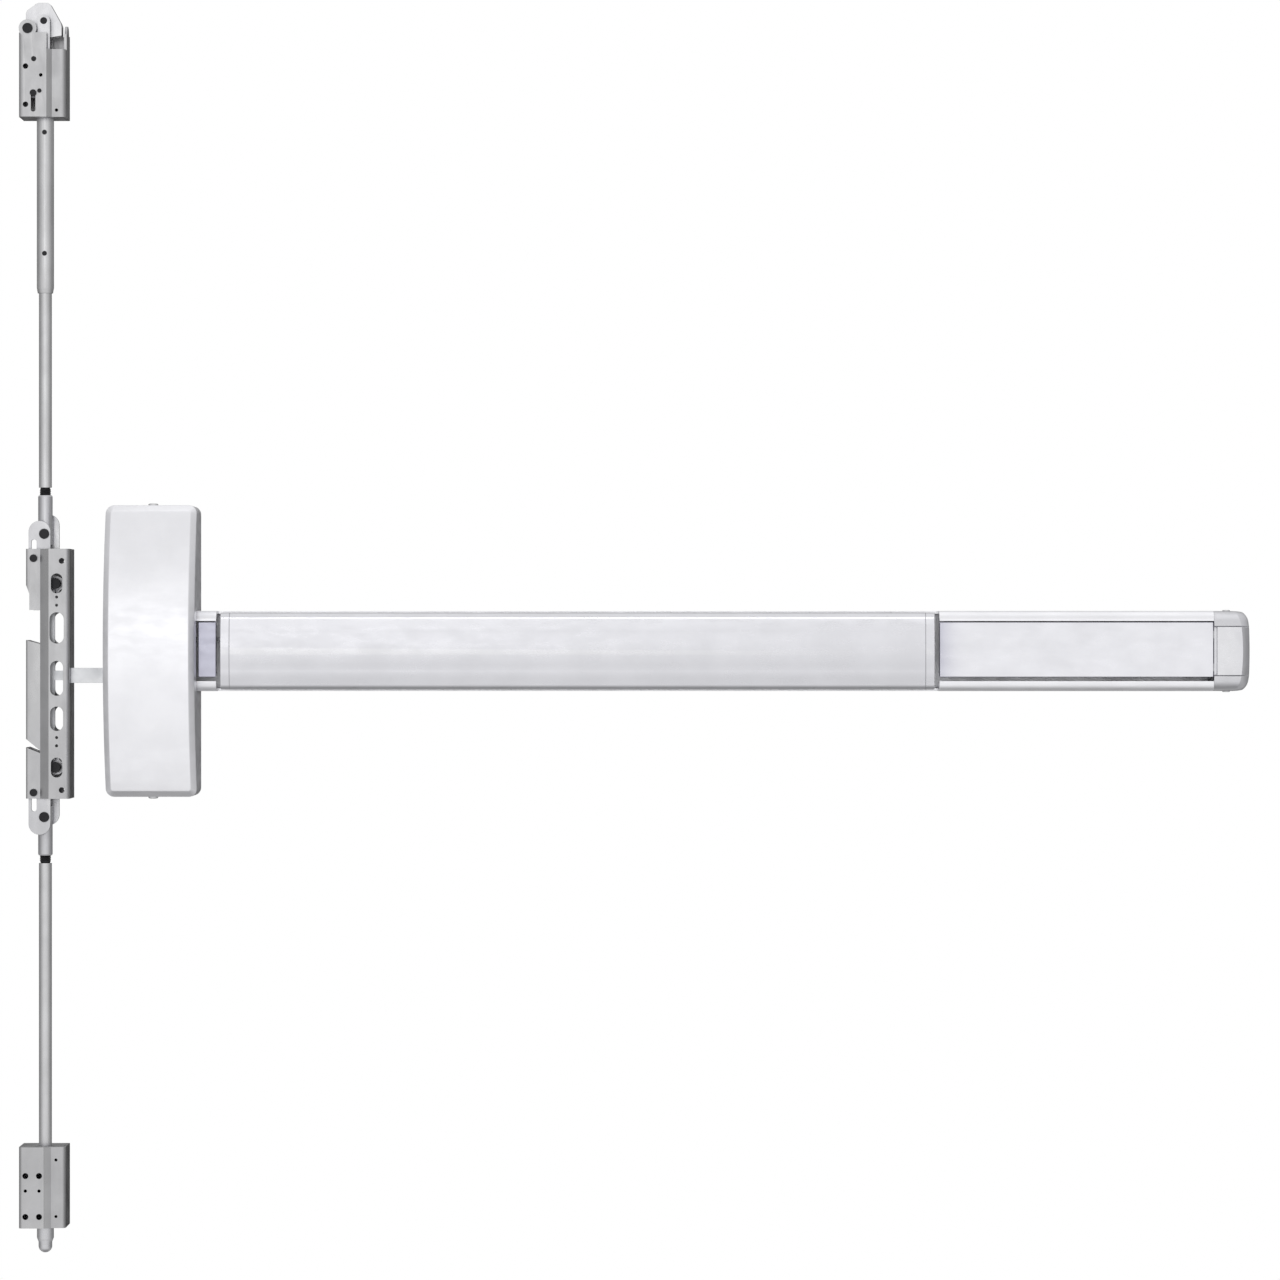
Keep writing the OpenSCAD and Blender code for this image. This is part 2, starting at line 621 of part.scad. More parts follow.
// Bell crank for the upper half: one fork lifts the slide, the other is driven by the yoke
module lever() color(zinc) translate([lever_x, lever_y[1], lever_dz]) rotate([90, 0, 0]) difference() {
    linear_extrude(lever_y[1] - lever_y[0]) {
        circle(5.5);
        rotate(180 - lever_half) fork_arm(17.2, 4.8, slide_pin_r, lever_arm);
        rotate(270 - lever_half) fork_arm(drive_arm / cos(lever_half) + 2.1, 4.2, yoke_pin_r, drive_arm);
    }
    translate([0, 0, -1]) cylinder(r = pivot_r + run_gap, h = 8);
}
module upper_lever() upper_half() lever();
module lower_lever() lower_half() lever();

// Outline of one cheek of a slide, with its ear from ear_x0 to ear_x0 + 16
module cheek(ear_x0, ear_top) difference() {
    union() {
        translate([slide_left, 62]) square([5 - slide_left, 24]);
        translate([ear_x0, 83.5]) square([2 * ear_r, ear_top - ear_r - 83.5]);
        translate([ear_x0 + ear_r, ear_top - ear_r]) circle(ear_r);
    }
    translate([0, clevis_dz]) circle(clevis_r + run_gap);
    translate([lever_x - lever_arm, lever_dz + rod_travel / 2]) circle(slide_pin_r + run_gap);
    for (z = [guide_dz, guide_dz + rod_travel]) translate([guide_x, z]) circle(guide_r + 0.2);
    translate([guide_x - guide_r - 0.2, guide_dz]) square([2 * guide_r + 0.4, rod_travel]);
}

module slide(front_top, back_top) color(zinc) {
    along_y(slide_y[0], slide_y[1]) cheek(slide_left, front_top);
    along_y(slide_back_y[0], slide_back_y[1]) cheek(-6.4, back_top);
    box([slide_left, slide_left + 1.8], [slide_y[1], slide_back_y[0]], [62, 86]);
}
module upper_slide() upper_half() slide(113.5, 118.5);
module lower_slide() lower_half() slide(117, 110.5);

module slide_pins() color(black) {
    rod_along_y(0, clevis_dz, clevis_r, slide_y[0], slide_back_y[1] + 0.6);
    rod_along_y(0, clevis_dz, clevis_r + 1.2, slide_y[0] - 1.3, slide_y[0]);
    rod_along_y(lever_x - lever_arm, lever_dz + rod_travel / 2, slide_pin_r, slide_y[0], slide_back_y[1]);
}
module upper_slide_pins() upper_half() slide_pins();
module lower_slide_pins() lower_half() slide_pins();

// ---------- Rods ----------

module connector() color(zinc) translate([0, rod_y, 0]) difference() {
    union() {
        rod_along_z(0, 0, connector_r, connector_dz[0], connector_dz[1] - 1);
        translate([0, 0, connector_dz[1] - 1]) cylinder(r1 = connector_r, r2 = connector_r - 0.6, h = 1);
    }
    rod_along_y(0, clevis_dz, clevis_r + run_gap, -10, 10);
    rod_along_z(0, 0, stud_r + run_gap, connector_dz[1] - 18, connector_dz[1] + 1);
}
module top_connector() upper_half() connector();
module bottom_connector() lower_half() connector();

// Threaded stud between a connector and its rod; the visible turns are rings
module adjusting_stud() color(black) translate([0, rod_y, 0]) {
    rod_along_z(0, 0, stud_r - 0.45, connector_dz[1] - 16, rod_dz);
    for (i = [0:16]) translate([0, 0, connector_dz[1] - 15.4 + i * 1.2]) {
        cylinder(r1 = stud_r - 0.45, r2 = stud_r, h = 0.5);
        translate([0, 0, 0.5]) cylinder(r1 = stud_r, r2 = stud_r - 0.45, h = 0.5);
    }
    rod_along_z(0, 0, stud_tip_r, rod_dz - 0.01, rod_dz + tip_depth);
}
module top_adjusting_stud() upper_half() adjusting_stud();
module bottom_adjusting_stud() lower_half() adjusting_stud();

module top_rod() color(zinc) translate([rod_x, rod_y, 0]) difference() {
    rod_along_z(0, 0, rod_r, top_rod_z0, top_rod_z1);
    rod_along_z(0, 0, stud_tip_r + run_gap, top_rod_z0 - 1, top_rod_z0 + tip_depth + 1);
    rod_along_y(0, tube_pin_z[0], cross_pin_r + run_gap, -10, 10);
}

module top_rod_tube() color(zinc) translate([rod_x, rod_y, 0]) difference() {
    union() {
        translate([0, 0, tube_z0]) cylinder(r1 = tube_r - 0.7, r2 = tube_r, h = 4);
        rod_along_z(0, 0, tube_r, tube_z0 + 4, tube_z1);
    }
    rod_along_z(0, 0, rod_r + 0.1, tube_z0 - 1, tube_z1 + 1);
    for (z = tube_pin_z) rod_along_y(0, z, cross_pin_r + run_gap, -10, 10);
}

// The two cross pins of the tube, the pin that drives the bolt and the pin that guides the head
module top_rod_pins() color(black) at_rod() {
    for (z = tube_pin_z) rod_along_y(0, z, cross_pin_r, rod_y - tube_r - 0.5, rod_y + tube_r + 0.5);
    rod_along_y(0, drive_z, drive_r, head_y[0] - 0.3, head_y[1] + 0.3);
    rod_along_y(guide_pin[0], guide_pin[1], guide_pin_r, set_front - 0.2, head_y[0] + 2.5);
    rod_along_y(guide_pin[0], guide_pin[1], guide_pin_r + 1, set_front - 1.4, set_front - 0.2);
}

module bottom_rod() color(zinc) translate([rod_x, rod_y, 0]) difference() {
    rod_along_z(0, 0, rod_r, bottom_rod_z0, bottom_rod_z1);
    rod_along_z(0, 0, stud_tip_r + run_gap, bottom_rod_z1 - tip_depth - 1, bottom_rod_z1 + 1);
    rod_along_y(0, foot_pin_z, foot_pin_r + run_gap, -10, 10);
}

module bottom_rod_pin() color(black) at_rod() rod_along_y(0, foot_pin_z, foot_pin_r, rod_y - 6, rod_y + 6);

// ---------- Top latch ----------

// Case of a latch: left wall, front panel, back plate and floor, as bent sheet
function case_line(split, inset) = concat([[latch_left + inset, latch_back]],
    arc(latch_left + latch_bend, set_front + latch_bend, latch_bend - inset, 180, 270),
    [[split[0], set_front + inset]]);

module case_end(split, z) {
    box([latch_left + latch_wall, split[0]], [set_front + latch_wall, latch_back], z);
    front = set_front + panel_drop + latch_wall + 0.8;
    box([split[0], latch_right - latch_wall - 0.1], [front, latch_back], z);
}

module latch_case(split, z) {
    along_z(z[0], z[1]) polygon(concat(case_line(split, 0), backwards(case_line(split, latch_wall))));
    box([latch_left, latch_right], [latch_back - latch_wall, latch_back], z);
    case_end(split, [z[0], z[0] + latch_wall]);
}

// Cover that closes the front and the right side of a latch case
function lid_line(split, inset) = concat(
    [[split[0] + 0.1, set_front + inset], [split[1], set_front + panel_drop + inset]],
    arc(latch_right - latch_bend, set_front + panel_drop + latch_bend, latch_bend - inset, -90, 0),
    [[latch_right - inset, latch_back - latch_wall - 0.05]]);

module latch_lid(split, z) along_z(z[0], z[1])
    polygon(concat(lid_line(split, 0), backwards(lid_line(split, latch_wall))));

module top_latch_housing() color(zinc) at_rod() difference() {
    union() {
        latch_case(top_split, [latch_z0, latch_z1]);
        // Ears for the pivot of the bolt
        for (y = [set_front, latch_back - latch_wall])
            rod_along_y(bolt_pivot[0], bolt_pivot[1], 6.5, y, y + latch_wall);
    }
    box([latch_left - 1, 0], [bolt_y[0] - 0.5, bolt_y[1] + 0.5], [bolt_pivot[1] - 6.8, latch_z1 + 1]);
    rod_along_y(bolt_pivot[0], bolt_pivot[1], pivot_r + run_gap, 0, 50);
    rod_along_y(stop_pin[0], stop_pin[1], stop_pin_r + run_gap, 0, 50);
    slot_y(guide_pin[0], guide_pin[1] - rod_travel - 1.8, guide_pin[1] + 1.8, 1.7, 0, 9);
    rod_along_z(0, rod_y, tube_r + 0.2, latch_z0 - 1, latch_z0 + 4);
    for (z = [latch_z0 + 9, latch_z0 + 37]) rod_along_y(-12.8, z, 2, 0, 9);
    rod_along_y(-1.6, latch_z0 + 30.5, 1.3, 0, 9);
    rod_along_y(rivet[0], rivet[1], rivet_r + run_gap, 0, 9);
}

module top_latch_cover() color(zinc) at_rod() difference() {
    union() {
        latch_lid(top_split, [latch_z0, latch_z1]);
        rod_along_x(28, latch_z1, 6.5, latch_right - latch_wall, latch_right);
    }
    box([-5, latch_right - latch_wall - 0.01], [0, set_back], [latch_z1 - 12, latch_z1 + 10]);
    box([latch_right - latch_wall - 1, latch_right + 1], [0, 18], [latch_z1 - 12, latch_z1 + 10]);
    rod_along_y(9.6, latch_z0 + 5, 1.2, 0, 14);
}

module top_rod_head() color(zinc) at_rod() {
    collar = [tube_z1, tube_z1 + 10];
    difference() {
        union() {
            rod_along_z(0, rod_y, rod_r, latch_z0 - 20, collar[0]);
            rod_along_z(0, rod_y, 8, collar[0], collar[0] + 3);
            box([-head_half, head_half], head_y, collar);
            for (y = [head_y[0], head_y[1] - 3]) {
                box([-head_half, head_half], [y, y + 3], [collar[0], drive_z]);
                rod_along_y(0, drive_z, head_half, y, y + 3);
            }
            box([guide_pin[0] - 2.3, 0], [head_y[0], head_y[0] + 2.5], [guide_pin[1] - 3, collar[0] + 5]);
        }
        box([-4.9, 4.9], [head_y[0] - 1, head_y[0] + 3.2], [guide_pin[1] - 4, collar[0] - 0.01]);
        rod_along_y(0, tube_pin_z[1], cross_pin_r + run_gap, 0, 50);
        rod_along_y(0, drive_z, drive_r + run_gap, 0, 50);
        rod_along_y(guide_pin[0], guide_pin[1], guide_pin_r + run_gap, 0, 20);
    }
}

// The bolt swings in the plane of the door, about a pin at its left corner
module top_bolt() color(zinc) at_rod() difference() {
    translate([0, 0, bolt_pivot[1]]) union() {
        along_y(bolt_y[0], bolt_y[1]) polygon([[-13.6, 0], [-13.6, 12], [-12.6, 14.2], [-6.2, 18.9],
            [-4.4, 19.7], [2.4, 19.7], [4.4, 18.4], [11.9, 5], [12.6, 2.6], [12.6, -4.4], [-5, -7.2]]);
        rod_along_y(bolt_pivot[0], 0, 6.3, bolt_y[0], bolt_y[1]);
    }
    rod_along_y(bolt_pivot[0], bolt_pivot[1], pivot_r + run_gap, 0, 50);
    // Slot for the pin of the rod head, pointing away from the pivot
    translate([bolt_pivot[0], 0, bolt_pivot[1]]) rotate([0, -bolt_half, 0]) drive_slot();
}
module drive_slot() {
    reach = [-bolt_pivot[0], -bolt_pivot[0] / cos(bolt_half)];
    for (x = reach) rod_along_y(x, 0, drive_r + 0.4, 10, 40);
    box(reach, [10, 40], [-drive_r - 0.4, drive_r + 0.4]);
}

// Pivot and stop of the bolt in the housing
module top_latch_pins() color(black) at_rod() {
    rod_along_y(bolt_pivot[0], bolt_pivot[1], pivot_r, set_front, latch_back + 1);
    rod_along_y(bolt_pivot[0], bolt_pivot[1], pivot_r + 0.7, set_front - 1.4, set_front);
    rod_along_y(stop_pin[0], stop_pin[1], stop_pin_r, set_front - 0.8, latch_back + 0.8);
    rod_along_y(rivet[0], rivet[1], rivet_r, set_front - 1, set_front + latch_wall + 0.5);
}

module top_latch_spring() color(steel) translate([rod_x, rod_y, 0])
    coil(7.25, 0.5, latch_z0 + latch_wall + 0.1, tube_z1 - 0.1, 6);

// ---------- Bottom latch ----------

module bottom_latch_housing() color(zinc) at_rod() difference() {
    union() {
        latch_case(foot_split, [foot_z0, foot_z1]);
        case_end(foot_split, [foot_z1 - latch_wall, foot_z1]);
    }
    rod_along_z(0, rod_y, rod_r + 0.2, foot_z1 - 3, foot_z1 + 1);
    rod_along_z(0, rod_y, foot_bolt_r + 0.2, foot_z0 - 1, foot_z0 + 3);
    for (x = foot_hole_x, z = [foot_z0 + 8.5, foot_z0 + 38.5]) rod_along_y(x, z, 2.2, 0, 9);
    for (x = foot_hole_x) rod_along_y(x, foot_z0 + 27.5, 1.2, 0, 9);
}

module bottom_latch_cover() color(zinc) at_rod() difference() {
    latch_lid(foot_split, [foot_z0, foot_z1]);
    for (z = [foot_z0 + 8.5, foot_z0 + 50]) rod_along_y(9.2, z, 1.1, 0, 14);
}

module bottom_bolt() color(steel) translate([rod_x, rod_y, 0]) difference() {
    tip = foot_z0 - nose_out + nose_r;
    union() {
        translate([0, 0, tip]) sphere(nose_r);
        rod_along_z(0, 0, nose_r, tip, tip + 3);
        translate([0, 0, tip + 3]) cylinder(r1 = nose_r, r2 = foot_bolt_r, h = 3);
        rod_along_z(0, 0, foot_bolt_r, tip + 6, bottom_rod_z0 + 13.9);
        rod_along_z(0, 0, flange_r, bottom_rod_z0 + 9, bottom_rod_z0 + 12);
    }
    rod_along_z(0, 0, rod_r + run_gap, bottom_rod_z0 - 0.5, bottom_rod_z0 + 20);
    rod_along_y(0, foot_pin_z, foot_pin_r + run_gap, -10, 10);
}

module bottom_latch_spring() color(steel) translate([rod_x, rod_y, 0])
    coil(7.4, 0.5, bottom_rod_z0 + 12.1, foot_z1 - latch_wall - 0.1, 5);

base_plate();
case_cover();
cover_brackets();
cover_screws();
rail();
rail_filler_left();
rail_filler_right();
rail_screws();
mechanism_channel();
rocker_brackets();
rocker_pivot_pins();
pad_bumpers();
spring_abutment();
return_spring();
end_cap();
end_bracket();
end_cap_screws();
push_pad();
pad_carrier();
pad_end_caps();
pad_pins();
rocker_left();
rocker_right();
drawbar();
drawbar_pins();
transfer_arm();
transfer_bar();
yoke_pins();
transfer_screws();
transfer_guide();
centre_housing();
centre_back_plate();
housing_spacers();
lever_studs();
slide_guide_pins();
upper_lever();
lower_lever();
upper_slide();
lower_slide();
upper_slide_pins();
lower_slide_pins();
top_connector();
bottom_connector();
top_adjusting_stud();
bottom_adjusting_stud();
top_rod();
top_rod_tube();
top_rod_pins();
bottom_rod();
bottom_rod_pin();
top_latch_housing();
top_latch_cover();
top_rod_head();
top_bolt();
top_latch_pins();
top_latch_spring();
bottom_latch_housing();
bottom_latch_cover();
bottom_bolt();
bottom_latch_spring();
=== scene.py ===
"""Looks of the panic exit bar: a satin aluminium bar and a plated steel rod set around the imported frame.

Mesh code works in millimetres in the frame's axes: X along the bar, Y into the door, Z up.
"""

import math

import bmesh
import bpy
from mathutils import Matrix, Vector


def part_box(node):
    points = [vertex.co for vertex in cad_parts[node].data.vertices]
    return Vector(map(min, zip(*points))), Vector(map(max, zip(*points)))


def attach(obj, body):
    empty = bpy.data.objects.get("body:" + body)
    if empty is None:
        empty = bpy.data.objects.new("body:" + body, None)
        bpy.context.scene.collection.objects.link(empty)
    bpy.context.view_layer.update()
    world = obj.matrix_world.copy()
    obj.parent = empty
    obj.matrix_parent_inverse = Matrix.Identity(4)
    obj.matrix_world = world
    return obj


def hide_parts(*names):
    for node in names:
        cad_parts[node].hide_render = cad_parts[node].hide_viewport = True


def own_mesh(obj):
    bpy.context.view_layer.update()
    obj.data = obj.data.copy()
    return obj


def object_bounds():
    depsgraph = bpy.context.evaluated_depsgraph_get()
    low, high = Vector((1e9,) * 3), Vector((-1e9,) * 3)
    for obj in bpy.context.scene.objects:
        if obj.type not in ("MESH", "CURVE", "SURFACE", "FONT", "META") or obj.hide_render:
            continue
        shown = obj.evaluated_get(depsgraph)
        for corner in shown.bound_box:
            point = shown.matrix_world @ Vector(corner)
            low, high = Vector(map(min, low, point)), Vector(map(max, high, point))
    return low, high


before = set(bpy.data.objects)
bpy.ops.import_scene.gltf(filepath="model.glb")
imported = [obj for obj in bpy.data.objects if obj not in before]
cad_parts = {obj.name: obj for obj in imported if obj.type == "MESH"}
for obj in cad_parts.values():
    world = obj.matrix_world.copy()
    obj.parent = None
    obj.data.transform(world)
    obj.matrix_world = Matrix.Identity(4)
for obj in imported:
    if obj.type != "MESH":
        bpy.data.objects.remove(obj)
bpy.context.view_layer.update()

MM = 0.001
LOOKS = {}  # Blender materials by name: one for each material slot of the record, and cap_casting


def box(node):
    """Lowest and highest corner of a CAD node, in millimetres."""
    low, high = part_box(node)
    return low / MM, high / MM


# ---------------------------------------------------------------- materials

BRUSH_STRETCH = 0.02  # scale of the fine noise along brushed lines, against 1 across them
SMEAR_STRETCH = 0.35  # the same for the broader smears
CLOUD_SCALE = 38.0
SMEAR_SCALE = 160.0
GRAIN_DEPTH = 0.0002  # metres of bump
# tint of the painted shade in gaps and corners
PAINTED_SHADE_TINT = (0.95, 0.95, 1.1)


class Nodes:
    """A small helper that adds shader nodes and links them."""

    def __init__(self, tree):
        self.tree = tree
        tree.nodes.clear()

    def add(self, kind, settings=None, **inputs):
        node = self.tree.nodes.new(kind)
        for key, value in (settings or {}).items():
            setattr(node, key, value)
        for key, value in inputs.items():
            self.plug(node.inputs[key.replace("_", " ")], value)
        return node

    def plug(self, socket, value):
        if isinstance(value, bpy.types.NodeSocket):
            self.tree.links.new(value, socket)
        else:
            socket.default_value = value

    def math(self, operation, a, b=0.0):
        node = self.tree.nodes.new("ShaderNodeMath")
        node.operation = operation
        self.plug(node.inputs[0], a)
        self.plug(node.inputs[1], b)
        return node.outputs[0]

    def noise(self, vector, scale, detail=2.0, roughness=0.5):
        node = self.add("ShaderNodeTexNoise", Vector=vector, Scale=scale, Detail=detail, Roughness=roughness)
        return node.outputs["Fac"]

    def stretched(self, vector, scale):
        node = self.add("ShaderNodeMapping", Vector=vector)
        node.inputs["Scale"].default_value = scale
        return node.outputs["Vector"]

    def ramp(self, value, low, high, out_low, out_high):
        node = self.tree.nodes.new("ShaderNodeMapRange")
        node.interpolation_type = "SMOOTHSTEP"
        self.plug(node.inputs["Value"], value)
        ends = {"From Min": low, "From Max": high, "To Min": out_low, "To Max": out_high}
        for name, number in ends.items():
            self.plug(node.inputs[name], number)
        return node.outputs["Result"]

    def blend(self, factor, a, b, kind="MIX"):
        node = self.tree.nodes.new("ShaderNodeMix")
        node.data_type = "RGBA"
        node.blend_type = kind
        self.plug(node.inputs[0], factor)
        self.plug(node.inputs[6], a)
        self.plug(node.inputs[7], b)
        return node.outputs[2]


def grey(value, tint=(1.0, 1.0, 1.0)):
    return (value * tint[0], value * tint[1], value * tint[2], 1.0)


def metal(slot, colour, roughness, brush, brush_bump=0.05, mottle=0.06, wear=0.25, spread=0.10,
          fine=9000.0, painted_crevice_shade=0.3, reach=0.006, hollow_span=(0.10, 0.80)):
    """A worked metal. brush is the axis its fine lines run along, or None for a tumbled or cast finish.

    Within reach of other surfaces, where less than hollow_span of the sky is open, painted shade darkens its
    colour towards the given crevice shade.
    """
    material = bpy.data.materials.new(slot)
    material.use_nodes = True
    n = Nodes(material.node_tree)
    where = n.add("ShaderNodeTexCoord").outputs["Object"]
    line_scale = [1.0, 1.0, 1.0]
    smear_scale = [1.0, 1.0, 1.0]
    if brush is not None:
        axis = "XYZ".index(brush)
        line_scale[axis] = BRUSH_STRETCH
        smear_scale[axis] = SMEAR_STRETCH
    lines = n.noise(n.stretched(where, line_scale), fine, detail=3.0, roughness=0.6)
    cloud = n.noise(where, CLOUD_SCALE, detail=4.0, roughness=0.55)
    smear = n.noise(n.stretched(where, smear_scale), SMEAR_SCALE, detail=3.0)
    edge = n.ramp(n.add("ShaderNodeNewGeometry").outputs["Pointiness"], 0.52, 0.58, 0.0, wear)

    dark = [channel * (1.0 - mottle) for channel in colour] + [1.0]
    light = [min(1.0, channel * (1.0 + mottle * 0.6)) for channel in colour] + [1.0]
    base = n.blend(n.ramp(cloud, 0.3, 0.7, 0.0, 1.0), dark, light)
    base = n.blend(n.ramp(lines, 0.25, 0.75, 0.0, 0.5 * mottle), base, grey(0.35, (1, 1, 1.02)))
    base = n.blend(edge, base, grey(min(1.0, max(colour) * 1.12)))
    # Painted shade: the colour darkens in gaps and inside corners, where other surfaces are near
    hollow = n.add("ShaderNodeAmbientOcclusion", {"samples": 6}, Distance=reach).outputs["AO"]
    painted_shade_colour = n.blend(1.0, base, grey(painted_crevice_shade, PAINTED_SHADE_TINT), "MULTIPLY")
    base = n.blend(n.ramp(hollow, *hollow_span, 1.0, 0.0), base, painted_shade_colour)

    rough = n.math("ADD", n.ramp(smear, 0.3, 0.7, roughness - spread / 2, roughness + spread / 2),
                   n.ramp(lines, 0.2, 0.8, -0.03, 0.03))
    rough = n.math("SUBTRACT", rough, n.math("MULTIPLY", edge, 0.2))
    height = n.math("ADD", lines, n.math("MULTIPLY", smear, 0.35))
    bump = n.add("ShaderNodeBump", Height=height, Strength=brush_bump, Distance=GRAIN_DEPTH).outputs["Normal"]
    shader = n.add("ShaderNodeBsdfPrincipled", Base_Color=base, Roughness=rough, Metallic=1.0, Normal=bump)
    n.add("ShaderNodeOutputMaterial", Surface=shader.outputs[0])
    LOOKS[slot] = material


def rubber(slot):
    """A matt black rubber with a grey bloom."""
    material = bpy.data.materials.new(slot)
    material.use_nodes = True
    n = Nodes(material.node_tree)
    where = n.add("ShaderNodeTexCoord").outputs["Object"]
    grain = n.noise(where, 2600.0, detail=4.0)
    bloom = n.noise(where, 120.0, detail=3.0)
    base = n.blend(n.ramp(bloom, 0.3, 0.75, 0.0, 1.0), grey(0.022), grey(0.06))
    bump = n.add("ShaderNodeBump", Height=grain, Strength=0.3, Distance=GRAIN_DEPTH).outputs["Normal"]
    rough = n.ramp(bloom, 0.2, 0.8, 0.6, 0.85)
    shader = n.add("ShaderNodeBsdfPrincipled", Base_Color=base, Roughness=rough, Normal=bump)
    n.add("ShaderNodeOutputMaterial", Surface=shader.outputs[0])
    LOOKS[slot] = material


# The last arguments set the painted shade in gaps and corners: how dark it gets, how far it reaches, and how
# closed a place must be.
metal("satin_aluminium", (0.90, 0.90, 0.93), 0.40, "X", brush_bump=0.05, mottle=0.03, painted_crevice_shade=0.22)
metal("cap_casting", (0.68, 0.68, 0.71), 0.34, None, brush_bump=0.06, mottle=0.05, painted_crevice_shade=0.2,
      fine=4000.0)
metal("pad_aluminium", (0.655, 0.655, 0.685), 0.32, "X", brush_bump=0.05, mottle=0.03)
# Its painted shade reaches far, so the filler darkens as if shadowed where it lies between the cover and the
# pad.
metal("filler_aluminium", (0.76, 0.76, 0.80), 0.36, "X", brush_bump=0.05, mottle=0.04, painted_crevice_shade=0.62,
      reach=0.026, hollow_span=(0.45, 0.95))
metal("zinc_steel", (0.62, 0.63, 0.65), 0.38, None, brush_bump=0.12, mottle=0.12, fine=3000.0)
metal("bright_screws", (0.70, 0.70, 0.71), 0.25, None, brush_bump=0.06, mottle=0.08)
metal("pin_steel", (0.62, 0.63, 0.65), 0.28, "Z", brush_bump=0.06, mottle=0.08)
metal("spring_steel", (0.36, 0.37, 0.39), 0.35, None, brush_bump=0.08, mottle=0.15)
metal("cast_rocker", (0.40, 0.40, 0.42), 0.52, None, brush_bump=0.5, mottle=0.18, fine=1500.0)
metal("housing_steel", (0.46, 0.46, 0.47), 0.36, "Z", brush_bump=0.10, mottle=0.08, wear=0.35, fine=5000.0)
metal("lever_steel", (0.55, 0.55, 0.57), 0.34, "Z", brush_bump=0.10, mottle=0.10, wear=0.35, fine=5000.0)
metal("rod_steel", (0.58, 0.58, 0.59), 0.32, "Z", brush_bump=0.10, mottle=0.08, fine=5000.0)
metal("bolt_steel", (0.60, 0.60, 0.62), 0.30, "Z", brush_bump=0.10, mottle=0.08, wear=0.4, fine=5000.0)
metal("black_oxide", (0.014, 0.014, 0.016), 0.42, None, brush_bump=0.10, mottle=0.25, wear=0.10)
rubber("bumper_rubber")


# ---------------------------------------------------------------- mesh helpers

PAST = 5.0  # how far a cutter reaches past the surface that it opens
DRILL_LENGTH = 10.0
WELD = 0.05  # overlap of solids that belong together


def arc(centre, radius, start, end, steps):
    """Points of a circular arc, angles in degrees."""
    out = []
    for i in range(steps + 1):
        a = math.radians(start + (end - start) * i / steps)
        out.append((centre[0] + radius * math.cos(a), centre[1] + radius * math.sin(a)))
    return out


def mirrored(points):
    """The same points mirrored in their second coordinate, in reverse order."""
    return [(a, -b) for a, b in reversed(points)]


def prism_x(bm, outline, x0, x1):
    """Extrudes a closed (y, z) outline from x0 to x1."""
    rings = [[bm.verts.new((x, y, z)) for y, z in outline] for x in (x0, x1)]
    join_rings(bm, rings)
    bm.faces.new(rings[0])
    bm.faces.new(rings[1])


def join_rings(bm, rings, closed=True):
    """Quads between rings that have the same number of points."""
    for a, b in zip(rings, rings[1:]):
        count = len(a)
        for i in range(count if closed else count - 1):
            j = (i + 1) % count
            bm.faces.new((a[i], a[j], b[j], b[i]))


def block(bm, x, y, z):
    """A closed box between pairs of x, y and z."""
    corners = bmesh.ops.create_cube(bm, size=1.0)["verts"]
    for v in corners:
        v.co = Vector([pair[0] if c < 0 else pair[1] for c, pair in zip(v.co, (x, y, z))])


def revolve(bm, place, rings, sides=32):
    """A closed turned shape. rings hold (radius, height); a radius may be a function of the angle."""
    made = []
    for radius, height in rings:
        ring = []
        for i in range(sides):
            a = 2 * math.pi * i / sides
            r = radius(a) if callable(radius) else radius
            ring.append(bm.verts.new(place @ Vector((r * math.cos(a), r * math.sin(a), height))))
        made.append(ring)
    join_rings(bm, made)
    bm.faces.new(made[0])
    bm.faces.new(made[-1])


def drill(bm, middle, radius, sides=32):
    """A round cutter along Z through a point."""
    start = Vector(middle) - Vector((0, 0, DRILL_LENGTH / 2))
    revolve(bm, Matrix.Translation(start), [(radius, 0.0), (radius, DRILL_LENGTH)], sides)


def helix(bm, place, radius, wire, length, turns, flat_turns=0.75, sides=8, steps=28):
    """A spring wire round Z. Its pitch closes up over flat_turns at each end, as a ground end does."""
    rings = []
    count = int(turns * steps)
    closed_pitch = 2.2 * wire  # the end turns all but touch
    free = length - 2 * wire - 2 * flat_turns * closed_pitch
    for i in range(count + 1):
        t = turns * i / count
        a = 2 * math.pi * t
        inner = min(max(t - flat_turns, 0.0), turns - 2 * flat_turns)
        ends = min(t, flat_turns) + max(t - (turns - flat_turns), 0.0)
        z = wire + ends * closed_pitch + free * inner / (turns - 2 * flat_turns)
        ring = []
        for k in range(sides):
            b = 2 * math.pi * k / sides
            r = radius + wire * math.cos(b)
            height = z + wire * math.sin(b)
            ring.append(bm.verts.new(place @ Vector((r * math.cos(a), r * math.sin(a), height))))
        rings.append(ring)
    join_rings(bm, rings)
    bm.faces.new(rings[0])
    bm.faces.new(rings[-1])


def mesh_object(name, bm):
    """Turns a bmesh in millimetres into an object in metres."""
    bmesh.ops.recalc_face_normals(bm, faces=bm.faces)
    mesh = bpy.data.meshes.new(name)
    bm.to_mesh(mesh)
    bm.free()
    mesh.transform(Matrix.Scale(MM, 4))
    made = bpy.data.objects.new(name, mesh)
    bpy.context.scene.collection.objects.link(made)
    return made


def cut(target, *cutters):
    """Subtracts closed bmeshes from an object, exactly."""
    for bm in cutters:
        tool = mesh_object("cutter", bm)
        step = target.modifiers.new("cut", "BOOLEAN")
        step.operation = "DIFFERENCE"
        step.solver = "EXACT"
        step.object = tool
        bpy.context.view_layer.update()
        graph = bpy.context.evaluated_depsgraph_get()
        result = bpy.data.meshes.new_from_object(target.evaluated_get(graph))
        target.modifiers.clear()
        target.data = result
        bpy.data.objects.remove(tool)


